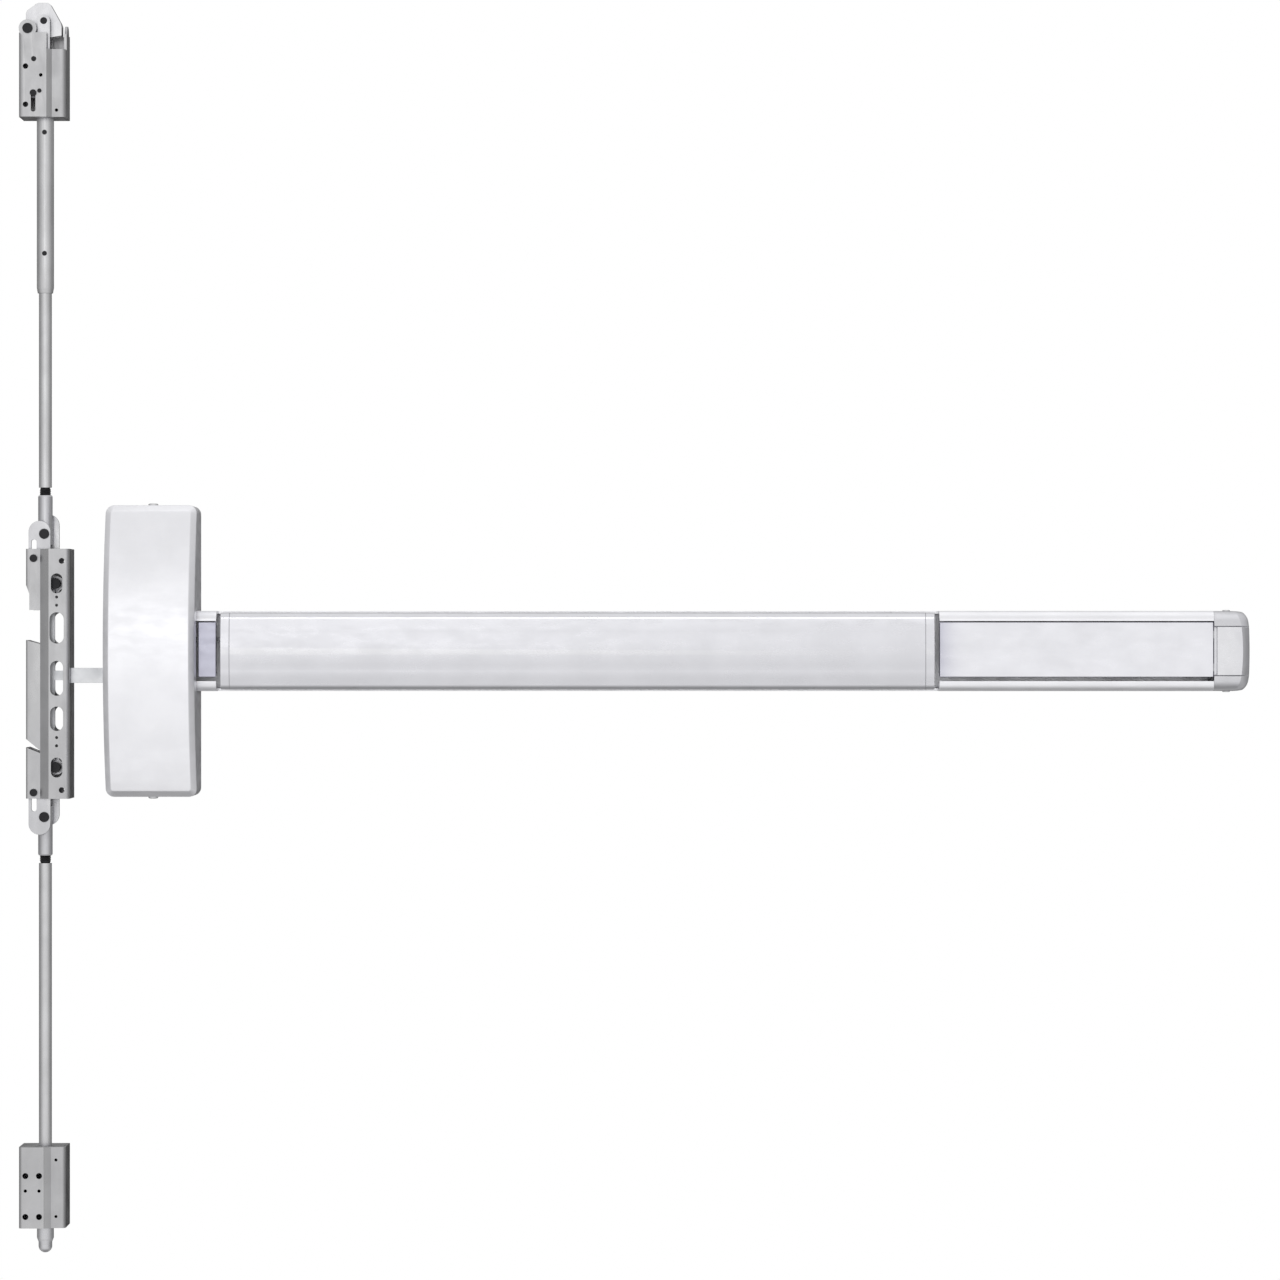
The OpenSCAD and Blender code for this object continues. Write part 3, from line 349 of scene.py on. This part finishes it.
def soften(target, width, segments=3, angle=35.0):
    """Rounds the sharp edges by width in millimetres and shades the rest smooth."""
    bevel = target.modifiers.new("soft_edges", "BEVEL")
    bevel.width = width * MM
    bevel.segments = segments
    bevel.limit_method = "ANGLE"
    bevel.angle_limit = math.radians(angle)
    bevel.harden_normals = True
    bevel.use_clamp_overlap = True


def finish_piece(target, body, slot, *stands_for, look=None):
    """Gives a piece its material, its body and the CAD nodes it stands for.

    look names a material other than the one of its slot.
    """
    for face in target.data.polygons:
        face.use_smooth = True
    target.data.materials.clear()
    target.data.materials.append(LOOKS[look or slot])
    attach(target, body)
    if stands_for:
        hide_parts(*stands_for)
    return target


# ---------------------------------------------------------------- case cover

COVER_END = 40.0  # depth of the cover at its two ends
COVER_CORNER = 6.0  # corner radius seen from the front
COVER_EDGE = 4.2  # bevel between the front and the sides
COVER_EASE = 1.3  # radius that eases the two edges of that bevel
COVER_WALL = 2.0
COVER_RIM = 0.4  # chamfer of its edges on the door
COVER_INNER_ROUND = 3.0
COVER_SCREW_Y = -22.0  # the screws in the ends of the cover
COVER_HOLE = 2.2  # radius of their holes
OPENING_GAP = 0.3  # between the cover and the rail that enters it
OPENING_DEPTH = 3.5  # how far the opening for the rail is cut into the side
RAIL_ROUND = 7.0


def rail_passage(gap):
    """Closed (y, z) outline round the rail with a gap, that passes the door's face at the back."""
    low, high = box("rail")
    half = [(high.y + PAST, high.z + gap)]
    half += arc((low.y + RAIL_ROUND, high.z - RAIL_ROUND), RAIL_ROUND + gap, 90, 180, 14)
    return half + mirrored(half)


def eased_bevel(size, ease, steps=4):
    """A 45 degree bevel with both its edges rounded, as (inset, depth) pairs from the side to the front."""
    reach = size + ease * math.tan(math.radians(22.5))
    half = []
    for k in range(steps + 1):
        a = math.radians(45 * k / steps)
        half.append((ease * (1 - math.cos(a)), reach - ease * math.sin(a)))
    return half + [(back, inset) for inset, back in reversed(half)]


def build_cover():
    """A thin box with an arched front, bevelled edges and rounded corners."""
    low, high = box("case_cover")
    half_w, half_h, crown = high.x, high.z, -low.y
    rise = crown - COVER_END
    bow = (half_h**2 + rise**2) / (2 * rise)

    def front(z):
        return -crown + bow - math.sqrt(bow**2 - z**2)

    def side(inset):
        """Right edge of the outline from bottom to top, inset from it."""
        radius = COVER_CORNER - inset
        cx, cz = half_w - COVER_CORNER, half_h - COVER_CORNER
        points = arc((cx, -cz), radius, -90, 0, 8)
        points += [(cx + radius, -cz + 2 * cz * i / 56) for i in range(1, 56)]
        return points + arc((cx, cz), radius, 0, 90, 8)

    bm = bmesh.new()

    def ring(inset, depth):
        right = side(inset)
        loop = right + [(-x, z) for x, z in reversed(right)]
        return [bm.verts.new((x, depth(z), z)) for x, z in loop]

    outer = [ring(COVER_RIM, lambda z: 0.0), ring(0.0, lambda z: -COVER_RIM)]
    inner = [ring(COVER_WALL - COVER_RIM, lambda z: 0.0), ring(COVER_WALL, lambda z: -COVER_RIM)]
    for inset, back in eased_bevel(COVER_EDGE, COVER_EASE):
        outer.append(ring(inset, lambda z, b=back: front(z) + b))
    for k in range(9):
        t = math.radians(90 * k / 8)
        inset = COVER_WALL + COVER_INNER_ROUND * (1 - math.cos(t))
        back = COVER_WALL + COVER_INNER_ROUND * (1 - math.sin(t))
        inner.append(ring(inset, lambda z, b=back: front(z) + b))
    for rings in (outer, inner):
        join_rings(bm, rings)
        # The front closes with one strip of quads between its left and right edge
        last = rings[-1]
        half = len(last) // 2
        for i in range(half - 1):
            bm.faces.new((last[i], last[i + 1], last[-2 - i], last[-1 - i]))
    join_rings(bm, [outer[0], inner[0]])
    cover = mesh_object("cover_shell", bm)

    opening, holes = bmesh.new(), bmesh.new()
    prism_x(opening, rail_passage(OPENING_GAP), half_w - OPENING_DEPTH, half_w + PAST)
    for s in (-1, 1):
        drill(holes, (0, COVER_SCREW_Y, s * half_h), COVER_HOLE)
    cut(cover, opening, holes)
    cover.data.set_sharp_from_angle(angle=math.radians(40))
    finish_piece(cover, "door_side", "satin_aluminium", "case_cover")


# ---------------------------------------------------------------- rail, fillers and pad

RAIL_WALL = 2.2
RAIL_LIP_GAP = 0.6  # between the rail's lips and the edges of the fillers
RAIL_MILLING = 17.5  # how far the opening for the pad reaches behind the pad
FILLER_WALL = 1.8
FILLER_LEG = 2.4  # from the edge of a filler to its leg
FILLER_LEG_WALL = 1.6
FILLER_EDGE = 0.85
PAD_WALL = 1.8
PAD_CORNER = 5.5
PAD_SHOULDER = (9.0, 0.95)  # height of the eased part of the pad's face, and how far it falls back
PAD_CROWN = 0.7
TONGUE = 1.8  # how far a cap of the pad reaches into it
TONGUE_PLAY = 0.1
TONGUE_BACK = 5.0  # from the back of the pad to that of a tongue


def build_rail():
    """An open channel with lips in front, milled away over the length of the pad."""
    low, high = box("rail")
    left, right = box("rail_filler_left")[1].x, box("rail_filler_right")[0].x
    lip = box("rail_filler_right")[1].z + RAIL_LIP_GAP
    centre = (low.y + RAIL_ROUND, high.z - RAIL_ROUND)
    outer = [(high.y, high.z)] + arc(centre, RAIL_ROUND, 90, 180, 16)
    inner = [(high.y - RAIL_WALL, high.z - RAIL_WALL)]
    inner += arc(centre, RAIL_ROUND - RAIL_WALL, 90, 180, 16)
    half = outer + [(low.y, lip), (low.y + RAIL_WALL, lip)] + list(reversed(inner))
    bm = bmesh.new()
    prism_x(bm, half + mirrored(half), low.x, high.x)
    rail = mesh_object("rail_extrusion", bm)
    mill = bmesh.new()
    depth = (low.y - PAST, box("push_pad")[1].y + RAIL_MILLING)
    block(mill, (left, right), depth, (low.z - PAST, high.z + PAST))
    cut(rail, mill)
    soften(rail, 0.35, angle=40)
    finish_piece(rail, "door_side", "satin_aluminium", "rail")


def build_fillers():
    """Flat strips with turned legs that close the front of the rail."""
    for side in ("left", "right"):
        node = "rail_filler_" + side
        low, high = box(node)
        front, back = low.y + FILLER_WALL, high.y
        middle = (low.z + high.z) / 2
        edge = high.z - middle
        leg = edge - FILLER_LEG
        half = [(low.y, edge), (front, edge), (front, leg), (back, leg)]
        half += [(back, leg - FILLER_LEG_WALL), (front, leg - FILLER_LEG_WALL)]
        section = [(y, middle + z) for y, z in half + mirrored(half)]
        bm = bmesh.new()
        prism_x(bm, section, low.x, high.x)
        strip = mesh_object("filler_strip_" + side, bm)
        soften(strip, FILLER_EDGE, angle=40)
        finish_piece(strip, "door_side", "filler_aluminium", node)


def pad_outline(inset, back, front, z):
    """Half of the pad's section, from its skirt over the corner to the middle of its face."""
    corner = PAD_CORNER - inset
    height, fall = PAD_SHOULDER
    top, face = z - inset, front + inset
    shoulder_z = top - corner
    flat_z = shoulder_z - height
    half = [(back, top)] + arc((face + fall + PAD_CROWN + corner, shoulder_z), corner, 90, 172, 12)
    for i in range(1, 9):
        t = i / 8
        half.append((face + PAD_CROWN + fall * (1 - t) ** 2, shoulder_z - height * t))
    for i in range(1, 5):
        t = i / 4
        half.append((face + PAD_CROWN * (1 - t) ** 2, flat_z * (1 - t)))
    return half


def closed(half):
    """Mirrors half an outline whose last point lies on the middle line."""
    return half + mirrored(half[:-1])


def build_pad():
    """The pad's hollow extrusion, and the two caps whose tongues sit in its ends."""
    low, high = box("push_pad")
    outer = closed(pad_outline(0.0, high.y, low.y, high.z))
    inner = closed(pad_outline(PAD_WALL, high.y, low.y, high.z))
    bm = bmesh.new()
    prism_x(bm, outer + list(reversed(inner)), low.x, high.x)
    pad = mesh_object("pad_extrusion", bm)
    soften(pad, 0.3, angle=40)
    finish_piece(pad, "pad", "pad_aluminium", "push_pad")

    caps_low, caps_high = box("pad_end_caps")
    tongue = closed(pad_outline(PAD_WALL + TONGUE_PLAY, high.y - TONGUE_BACK, low.y, high.z))
    bm = bmesh.new()
    prism_x(bm, outer, caps_low.x, low.x)
    prism_x(bm, tongue, low.x - WELD, low.x + TONGUE)
    prism_x(bm, outer, high.x, caps_high.x)
    prism_x(bm, tongue, high.x - TONGUE, high.x + WELD)
    caps = mesh_object("pad_cap_mouldings", bm)
    soften(caps, 0.45, angle=40)
    finish_piece(caps, "pad", "pad_aluminium", "pad_end_caps")


# ---------------------------------------------------------------- end cap

CAP_WALL = 2.4
CAP_END_WALL = 9.0
CAP_BEVEL = 11.5  # radius of the long bevels above and below the panel
CAP_BEVEL_BACK = 12.2  # from the front to the middle of that radius
CAP_PANEL = 17.4  # half the height of the front panel
CAP_GROOVE = 0.8  # depth and width of the grooves along the panel
CAP_GROOVE_EDGE = 0.12  # how far the outer edge of the groove lies behind the panel
CAP_TURN = 6.0, 12.0, 1.0  # width of the curve to the end, and how far the front and the top fall back in it
CAP_TURN_SPREAD = 2.0  # how much wider that curve is at the top and the bottom
CAP_CREASE = math.radians(35)  # angle at which it starts
CAP_BOW = 0.8, 3.6  # how far the end falls back: evenly, and at its corners
CAP_REBATE = 2.2, 1.6  # width and depth of the step beside the filler
CAP_HOLE = 1.7  # radius of the screw holes


def cap_half(front, bevel):
    """Half of the cap's section, from the door over the bevel and the groove to the middle of the panel."""
    groove_z = CAP_PANEL + CAP_GROOVE
    half = [(0.0, bevel[1] + CAP_BEVEL)] + arc(bevel, CAP_BEVEL, 90, 160, 18)
    half += [(front + CAP_GROOVE_EDGE, groove_z), (front + CAP_GROOVE, CAP_PANEL + CAP_GROOVE / 2)]
    return half + [(front, CAP_PANEL * (1 - i / 8)) for i in range(9)]


def cap_rings(bm, section, start, end, front, top):
    """Rings of the section: one at the start, then those that curve into the bowed end."""
    rings = [[bm.verts.new((start, y, z)) for y, z in section]]
    width, depth, drop = CAP_TURN
    for k in range(11):
        t = CAP_CREASE + (math.pi / 2 - CAP_CREASE) * k / 10
        turned = 1 - math.cos(t) / math.cos(CAP_CREASE)
        left = (1 - math.sin(t)) / (1 - math.sin(CAP_CREASE))
        ring = []
        for y, z in section:
            share = min(1.0, abs(z) / top)
            end_x = end - CAP_BOW[0] * share**2 - CAP_BOW[1] * share**9
            x = end_x - (width + CAP_TURN_SPREAD * (z / top) ** 2) * left
            ring.append(bm.verts.new((x, y * (1 + depth / front * turned), z * (1 - drop / top * turned))))
        rings.append(ring)
    return rings


def close_cap(bm, rings):
    """Closes the end and the back on the plane of the door, and the start with one face."""
    last = rings[-1]
    feet = [last[0]] + [bm.verts.new((v.co.x, 0.0, v.co.z)) for v in last[1:-1]] + [last[-1]]
    for i in range(len(last) - 1):
        quad = [last[i], last[i + 1], feet[i + 1], feet[i]]
        bm.faces.new(list(dict.fromkeys(quad)))  # the first and the last are triangles
    bm.faces.new([ring[0] for ring in rings[:-1]] + feet + [ring[-1] for ring in reversed(rings[:-1])])
    bm.faces.new(rings[0])


def build_end_cap():
    """A casting whose front turns back into its bowed end, hollow behind and stepped beside the filler."""
    low, high = box("end_cap")
    front, top = low.y, high.z
    bevel = (front + CAP_BEVEL_BACK, top - CAP_BEVEL)
    bm = bmesh.new()
    rings = cap_rings(bm, closed(cap_half(front, bevel)), low.x, high.x, front, top)
    join_rings(bm, rings, closed=False)
    close_cap(bm, rings)
    cap = mesh_object("end_cap_casting", bm)

    hollow, step, holes = bmesh.new(), bmesh.new(), bmesh.new()
    inside = [(PAST, top - CAP_WALL)] + arc(bevel, CAP_BEVEL - CAP_WALL, 90, 180, 16)
    prism_x(hollow, inside + mirrored(inside), low.x - PAST, high.x - CAP_END_WALL)
    width, depth = CAP_REBATE
    block(step, (low.x - PAST, low.x + width), (front - PAST, front + depth), (-CAP_PANEL, CAP_PANEL))
    screws_low, screws_high = box("end_cap_screws")
    middle = (screws_low + screws_high) / 2
    for s in (-1, 1):
        drill(holes, (middle.x, middle.y, s * top), CAP_HOLE, 24)
    cut(cap, hollow, step, holes)
    cap.data.set_sharp_from_angle(angle=math.radians(20))
    soften(cap, 0.35, angle=42)
    finish_piece(cap, "door_side", "satin_aluminium", "end_cap", look="cap_casting")


# ---------------------------------------------------------------- screws, springs and studs

# The sizes of the screws. What is missing here follows from the CAD nodes.
COVER_SCREW = {"head_r": 3.6, "shank_r": 2.0, "length": 7.0}
BRACKET_SCREW = {"head_r": 3.4, "head_h": 1.8, "shank_r": 2.0, "length": 4.3}
CAP_SCREW = {"head_r": 2.8, "shank_r": 1.5}
RAIL_SCREW = {"head_r": 3.5, "head_h": 2.0, "shank_r": 2.0}
BRACKET_SCREW_Y = -6.3  # the front of their heads
BRACKET_SCREW_Z = 96.0  # above and below the middle, like RAIL_SCREW_Z
CAP_SCREW_TIP = 20.0  # height at which the screws of the end cap end
RAIL_SCREW_START = 24.0  # place along the bar of the first screws of the rail
RAIL_SCREW_END = 20.0  # from the last ones to the end of the rail
RAIL_SCREW_Z = 15.0
RAIL_SCREW_GRIP = 2.3  # how far they reach behind the rail's wall
CHANNEL_WALL = 1.5
CHANNEL_SCREW_END = 14.0  # from the outer screws of the channel to its ends
CHANNEL_SCREW_Z = -17.0
CHANNEL_SCREW_SHORT = 0.1  # how far their tips stay in front of the rail's back
SPRING_WIRE = 0.6  # radius
LATCH_SPRING_WIRE = 0.5
THREAD_PITCH = 1.25
THREAD_DEPTH = 0.5
THREAD_START = 0.8  # plain length before and after the thread
STUD_TIP = 3.0, 12.0  # radius and length of the plain end


def cross(reach, half_width):
    """Outline of a cross recess: the distance from its middle at an angle."""
    def radius(a):
        c, s = max(abs(math.cos(a)), 1e-6), max(abs(math.sin(a)), 1e-6)
        return max(min(reach / c, half_width / s), min(half_width / c, reach / s))
    return radius


def pan_screw(bm, place, head_r, head_h, shank_r, length):
    """A screw along +Z of its place: domed head, cross recess, and a shank with a chamfered tip."""
    recess, floor = cross(0.52 * head_r, 0.14 * head_r), cross(0.30 * head_r, 0.12 * head_r)
    rings = [(floor, 0.62 * head_h), (recess, 0.05 * head_h), (0.60 * head_r, 0.0)]
    for k in range(1, 6):
        a = math.radians(90 * k / 5)
        rings.append((0.60 * head_r + 0.40 * head_r * math.sin(a), 0.62 * head_h * (1 - math.cos(a))))
    rings += [(head_r, 0.93 * head_h), (0.96 * head_r, head_h), (shank_r, head_h)]
    rings += [(shank_r, head_h + length - 0.6), (shank_r - 0.5, head_h + length)]
    revolve(bm, place, rings, sides=40)


def pointing(place, direction):
    """A placement at a point whose Z axis runs along a direction."""
    turn = Vector((0, 0, 1)).rotation_difference(Vector(direction)).to_matrix().to_4x4()
    return Matrix.Translation(place) @ turn


def screw_piece(name, node, screws):
    """One piece of several screws, each given by its place, its direction and its sizes."""
    bm = bmesh.new()
    for place, direction, sizes in screws:
        pan_screw(bm, pointing(place, direction), **sizes)
    made = mesh_object(name, bm)
    made.data.set_sharp_from_angle(angle=math.radians(32))
    finish_piece(made, "door_side", "bright_screws", node)


def build_cover_screws():
    """Two screws in the ends of the cover, and two through its brackets into the base plate."""
    top, seat = box("cover_screws")[1].z, box("case_cover")[1].z
    sizes = dict(COVER_SCREW, head_h=top - seat)
    screws = []
    for s in (-1, 1):
        screws.append(((0, COVER_SCREW_Y, s * top), (0, 0, -s), sizes))
        screws.append(((0, BRACKET_SCREW_Y, s * BRACKET_SCREW_Z), (0, 1, 0), BRACKET_SCREW))
    screw_piece("cover_screw_set", "cover_screws", screws)


def build_cap_screws():
    """Two screws that enter the end cap from above and below."""
    low, high = box("end_cap_screws")
    middle = (low + high) / 2
    seat = box("end_cap")[1].z
    sizes = dict(CAP_SCREW, head_h=high.z - seat, length=seat - CAP_SCREW_TIP)
    screws = [((middle.x, middle.y, s * high.z), (0, 0, -s), sizes) for s in (-1, 1)]
    screw_piece("end_cap_screw_set", "end_cap_screws", screws)


def build_rail_screws():
    """Four screws hold the rail, and three the channel that lies in it."""
    rail_high = box("rail")[1]
    channel_low, channel_high = box("mechanism_channel")
    head_h = RAIL_SCREW["head_h"]
    seat = rail_high.y - RAIL_WALL
    sizes = dict(RAIL_SCREW, length=RAIL_WALL + RAIL_SCREW_GRIP)
    screws = []
    for x in (RAIL_SCREW_START, rail_high.x - RAIL_SCREW_END):
        for z in (-RAIL_SCREW_Z, RAIL_SCREW_Z):
            screws.append(((x, seat - head_h, z), (0, 1, 0), sizes))
    seat = channel_high.y - CHANNEL_WALL
    sizes = dict(RAIL_SCREW, length=rail_high.y - CHANNEL_SCREW_SHORT - seat)
    middle = (channel_low.x + channel_high.x) / 2
    for x in (channel_low.x + CHANNEL_SCREW_END, middle, channel_high.x - CHANNEL_SCREW_END):
        screws.append(((x, seat - head_h, CHANNEL_SCREW_Z), (0, 1, 0), sizes))
    screw_piece("rail_screw_set", "rail_screws", screws)


def spring_piece(node, place, outer_r, wire, length, turns):
    """A coil spring round the Z axis of its place."""
    bm = bmesh.new()
    helix(bm, place, outer_r - wire, wire, length, turns)
    made = finish_piece(mesh_object(node + "_wire", bm), "door_side", "spring_steel", node)
    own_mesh(made)


def build_springs():
    """The return spring along the bar, and the springs of the two latches."""
    low, high = box("return_spring")
    place = pointing((low.x, (low.y + high.y) / 2, (low.z + high.z) / 2), (1, 0, 0))
    spring_piece("return_spring", place, (high.z - low.z) / 2, SPRING_WIRE, high.x - low.x, 8)
    for end, turns, keep in (("top", 7, 0.60), ("bottom", 6, 0.42)):
        node = end + "_latch_spring"
        low, high = box(node)
        place = Matrix.Translation(((low.x + high.x) / 2, (low.y + high.y) / 2, low.z))
        spring_piece(node, place, (high.x - low.x) / 2, LATCH_SPRING_WIRE, high.z - low.z, turns)


def thread_radius(radius, height, share):
    """Radius of a threaded stud by the angle, at a height. share is how much of the thread is cut."""
    def at(a):
        turn = (height / THREAD_PITCH - a / (2 * math.pi)) % 1.0
        return radius - THREAD_DEPTH + share * THREAD_DEPTH * abs(2 * turn - 1)
    return at


def build_studs():
    """Threaded studs between the connectors and the rods, with true turns of thread."""
    tip_r, tip = STUD_TIP
    studs = (("top_adjusting_stud", "upper_rods", 1), ("bottom_adjusting_stud", "lower_rods", -1))
    for node, body, way in studs:
        low, high = box(node)
        radius = (high.x - low.x) / 2
        middle = (low + high) / 2
        place = pointing((middle.x, middle.y, low.z if way > 0 else high.z), (0, 0, way))
        length = high.z - low.z - tip
        steps = int(length / THREAD_PITCH * 8)
        rings = [(0.7 * radius, 0.0)]
        for i in range(steps + 1):
            z = THREAD_START + (length - 2 * THREAD_START) * i / steps
            share = min(1.0, i / 6, (steps - i) / 6)
            rings.append((thread_radius(radius, z, share), z))
        rings += [(0.8 * radius, length), (tip_r, length)]
        rings += [(tip_r, length + tip - 0.5), (tip_r - 0.5, length + tip)]
        bm = bmesh.new()
        revolve(bm, place, rings)
        made = mesh_object(node + "_thread", bm)
        made.data.set_sharp_from_angle(angle=math.radians(35))
        finish_piece(made, body, "black_oxide", node)


# ---------------------------------------------------------------- the rest of the frame

CAD_WELD = 0.002  # vertices that lie closer together are one
CAD_FLAT = math.radians(0.3)  # faces that meet at less are one
CAD_EDGE = 0.2


def clean_group():
    """A geometry step for CAD nodes: welds the split vertices and drops the stored normals."""
    tree = bpy.data.node_groups.new("clean_cad", "GeometryNodeTree")
    tree.interface.new_socket("Geometry", in_out="INPUT", socket_type="NodeSocketGeometry")
    tree.interface.new_socket("Geometry", in_out="OUTPUT", socket_type="NodeSocketGeometry")
    nodes = [tree.nodes.new(kind) for kind in (
        "NodeGroupInput", "GeometryNodeMergeByDistance", "GeometryNodeRemoveAttribute",
        "GeometryNodeSetShadeSmooth", "NodeGroupOutput")]
    nodes[1].inputs["Distance"].default_value = CAD_WELD * MM
    nodes[2].inputs["Name"].default_value = "custom_normal"
    for a, b in zip(nodes, nodes[1:]):
        tree.links.new(a.outputs["Geometry"], b.inputs["Geometry"])
    return tree


def dress_cad_nodes():
    """Every CAD node that is still shown gets a material and softened edges."""
    cleaner = clean_group()
    for name in sorted(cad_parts):
        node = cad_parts[name]
        slot = node.material_slots[0].material.name.split(".")[0]
        node.material_slots[0].material = LOOKS[slot]
        if node.hide_render:
            continue
        step = node.modifiers.new("clean", "NODES")
        step.node_group = cleaner
        flat = node.modifiers.new("flat_faces", "DECIMATE")
        flat.decimate_type = "DISSOLVE"
        flat.angle_limit = CAD_FLAT
        soften(node, CAD_EDGE, segments=2, angle=30)


# ---------------------------------------------------------------- studio

# Sizes and places in metres
KEY_PLACE = (-0.5, -3.0, 0.5)  # from the middle of the object
STRIP_PLACE = (0.1, -0.9, 0.62)  # from there too
STRIP_HEIGHT = 0.12
STRIP_LIT = ("pad_extrusion", "pad_cap_mouldings")  # the strip light shines on these alone
FLOOR_Z = -1.0
FLOOR_RADIUS = 2.9


def room_brightness(n):
    """How bright the room is that the metal mirrors, by direction.

    It is bright in front of the door, most of all a little above eye level, and dim straight behind the door.
    """
    way = n.add("ShaderNodeTexCoord").outputs["Generated"]
    _, y, z = n.add("ShaderNodeSeparateXYZ", Vector=way).outputs
    ahead = n.math("MULTIPLY", y, -1.0)
    behind = n.math("ADD", n.ramp(z, -0.10, 0.75, 0.34, 0.80), n.ramp(ahead, -1.0, -0.72, -0.30, 0.0))
    front = n.ramp(ahead, -0.35, 1.0, behind, 0.86)
    from_eye = n.math("ABSOLUTE", n.math("SUBTRACT", z, 0.05))
    eye_level = n.math("MULTIPLY", n.ramp(from_eye, 0.04, 0.42, 0.26, 0.0), n.ramp(ahead, 0.5, 0.9, 0.0, 1.0))
    from_floor = n.math("ABSOLUTE", n.math("ADD", z, 0.62))
    bounce = n.ramp(from_floor, 0.0, 0.42, 0.20, 0.0)
    above = n.ramp(z, 0.74, 1.0, 0.0, 0.28)
    below = n.ramp(z, -1.0, -0.80, -0.06, 0.0)
    sky = n.math("ADD", n.math("ADD", front, eye_level), n.math("ADD", above, below))
    return n.math("ADD", sky, bounce)


def build_world():
    """A room for the metal to mirror, in front of plain white for the camera."""
    world = bpy.data.worlds.new("studio")
    bpy.context.scene.world = world
    world.use_nodes = True
    n = Nodes(world.node_tree)
    room = n.blend(1.0, grey(1.0), room_brightness(n), "MULTIPLY")
    seen = n.add("ShaderNodeLightPath").outputs["Is Camera Ray"]
    background = n.add("ShaderNodeBackground", Color=n.blend(seen, room, grey(1.0)))
    n.add("ShaderNodeOutputWorld", Surface=background.outputs[0])


def build_floor(centre):
    """A disc well below the object, whose rim melts into the white surroundings."""
    bm = bmesh.new()
    bmesh.ops.create_circle(bm, cap_ends=True, segments=96, radius=FLOOR_RADIUS)
    mesh = bpy.data.meshes.new("floor")
    bm.to_mesh(mesh)
    bm.free()
    floor = bpy.data.objects.new("floor", mesh)
    floor.location = (centre.x, centre.y, FLOOR_Z)
    bpy.context.scene.collection.objects.link(floor)
    floor.data.materials.append(floor_material(FLOOR_RADIUS))
    floor.visible_glossy = False  # the metal mirrors the room that the world describes, not this disc


def build_studio():
    """The room, a wide key light, a strip light over the bar and a floor."""
    bpy.context.scene.view_settings.view_transform = "Standard"
    build_world()
    low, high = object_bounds()
    centre = (low + high) / 2
    add_light("key", centre + Vector(KEY_PLACE), centre, size=1.2, power=1.5)
    strip = add_light("bar_strip", centre + Vector(STRIP_PLACE), centre, size=1.4, power=2.3)
    strip.data.shape = "RECTANGLE"
    strip.data.size_y = STRIP_HEIGHT
    lit = bpy.data.collections.new("bar_lit")
    for name in STRIP_LIT:
        lit.objects.link(bpy.data.objects[name])
    strip.light_linking.receiver_collection = lit
    build_floor(centre)


def add_light(name, place, target, size, power):
    """An area light of a size in metres and a power in watts, aimed at a point."""
    data = bpy.data.lights.new(name, "AREA")
    data.shape = "DISK"
    data.size = size
    data.energy = power
    lamp = bpy.data.objects.new(name, data)
    lamp.location = place
    lamp.rotation_euler = (target - place).to_track_quat("-Z", "Y").to_euler()
    bpy.context.scene.collection.objects.link(lamp)
    return lamp


def floor_material(radius):
    """A pale floor that fades into the white surroundings towards its rim."""
    material = bpy.data.materials.new("floor")
    material.use_nodes = True
    n = Nodes(material.node_tree)
    where = n.add("ShaderNodeTexCoord").outputs["Object"]
    reach = n.add("ShaderNodeVectorMath", {"operation": "LENGTH"}, Vector=where).outputs["Value"]
    fade = n.ramp(reach, 0.3 * radius, 0.97 * radius, 0.0, 1.0)
    grain = n.ramp(n.noise(where, 90.0, detail=3.0), 0.3, 0.7, 0.85, 0.87)
    pale = n.add("ShaderNodeBsdfDiffuse", Color=n.blend(1.0, grey(1.0), grain, "MULTIPLY"))
    white = n.add("ShaderNodeEmission", Color=grey(1.0), Strength=1.0)
    mix = n.add("ShaderNodeMixShader", Fac=fade)
    n.plug(mix.inputs[1], pale.outputs[0])
    n.plug(mix.inputs[2], white.outputs[0])
    n.add("ShaderNodeOutputMaterial", Surface=mix.outputs[0])
    return material


VIEW_DISTANCE = 3.8  # from the camera to the plane just in front of the rail
VIEW_WIDTH = 0.9267  # what the camera sees across at that plane
VIEW_CENTRE = (0.354, -0.040, 0.008)  # the middle of the picture, on that plane


def build_camera():
    """Straight in front of the bar, as in the photograph."""
    data = bpy.data.cameras.new("camera")
    data.sensor_width = 36.0
    data.lens = data.sensor_width * VIEW_DISTANCE / VIEW_WIDTH
    data.clip_end = 50.0
    camera = bpy.data.objects.new("camera", data)
    camera.location = Vector(VIEW_CENTRE) - Vector((0, VIEW_DISTANCE, 0))
    camera.rotation_euler = (math.radians(90), 0, 0)
    bpy.context.scene.collection.objects.link(camera)
    bpy.context.scene.camera = camera


build_cover()
build_rail()
build_fillers()
build_pad()
build_end_cap()
build_cover_screws()
build_cap_screws()
build_rail_screws()
build_springs()
build_studs()
dress_cad_nodes()
build_studio()
build_camera()
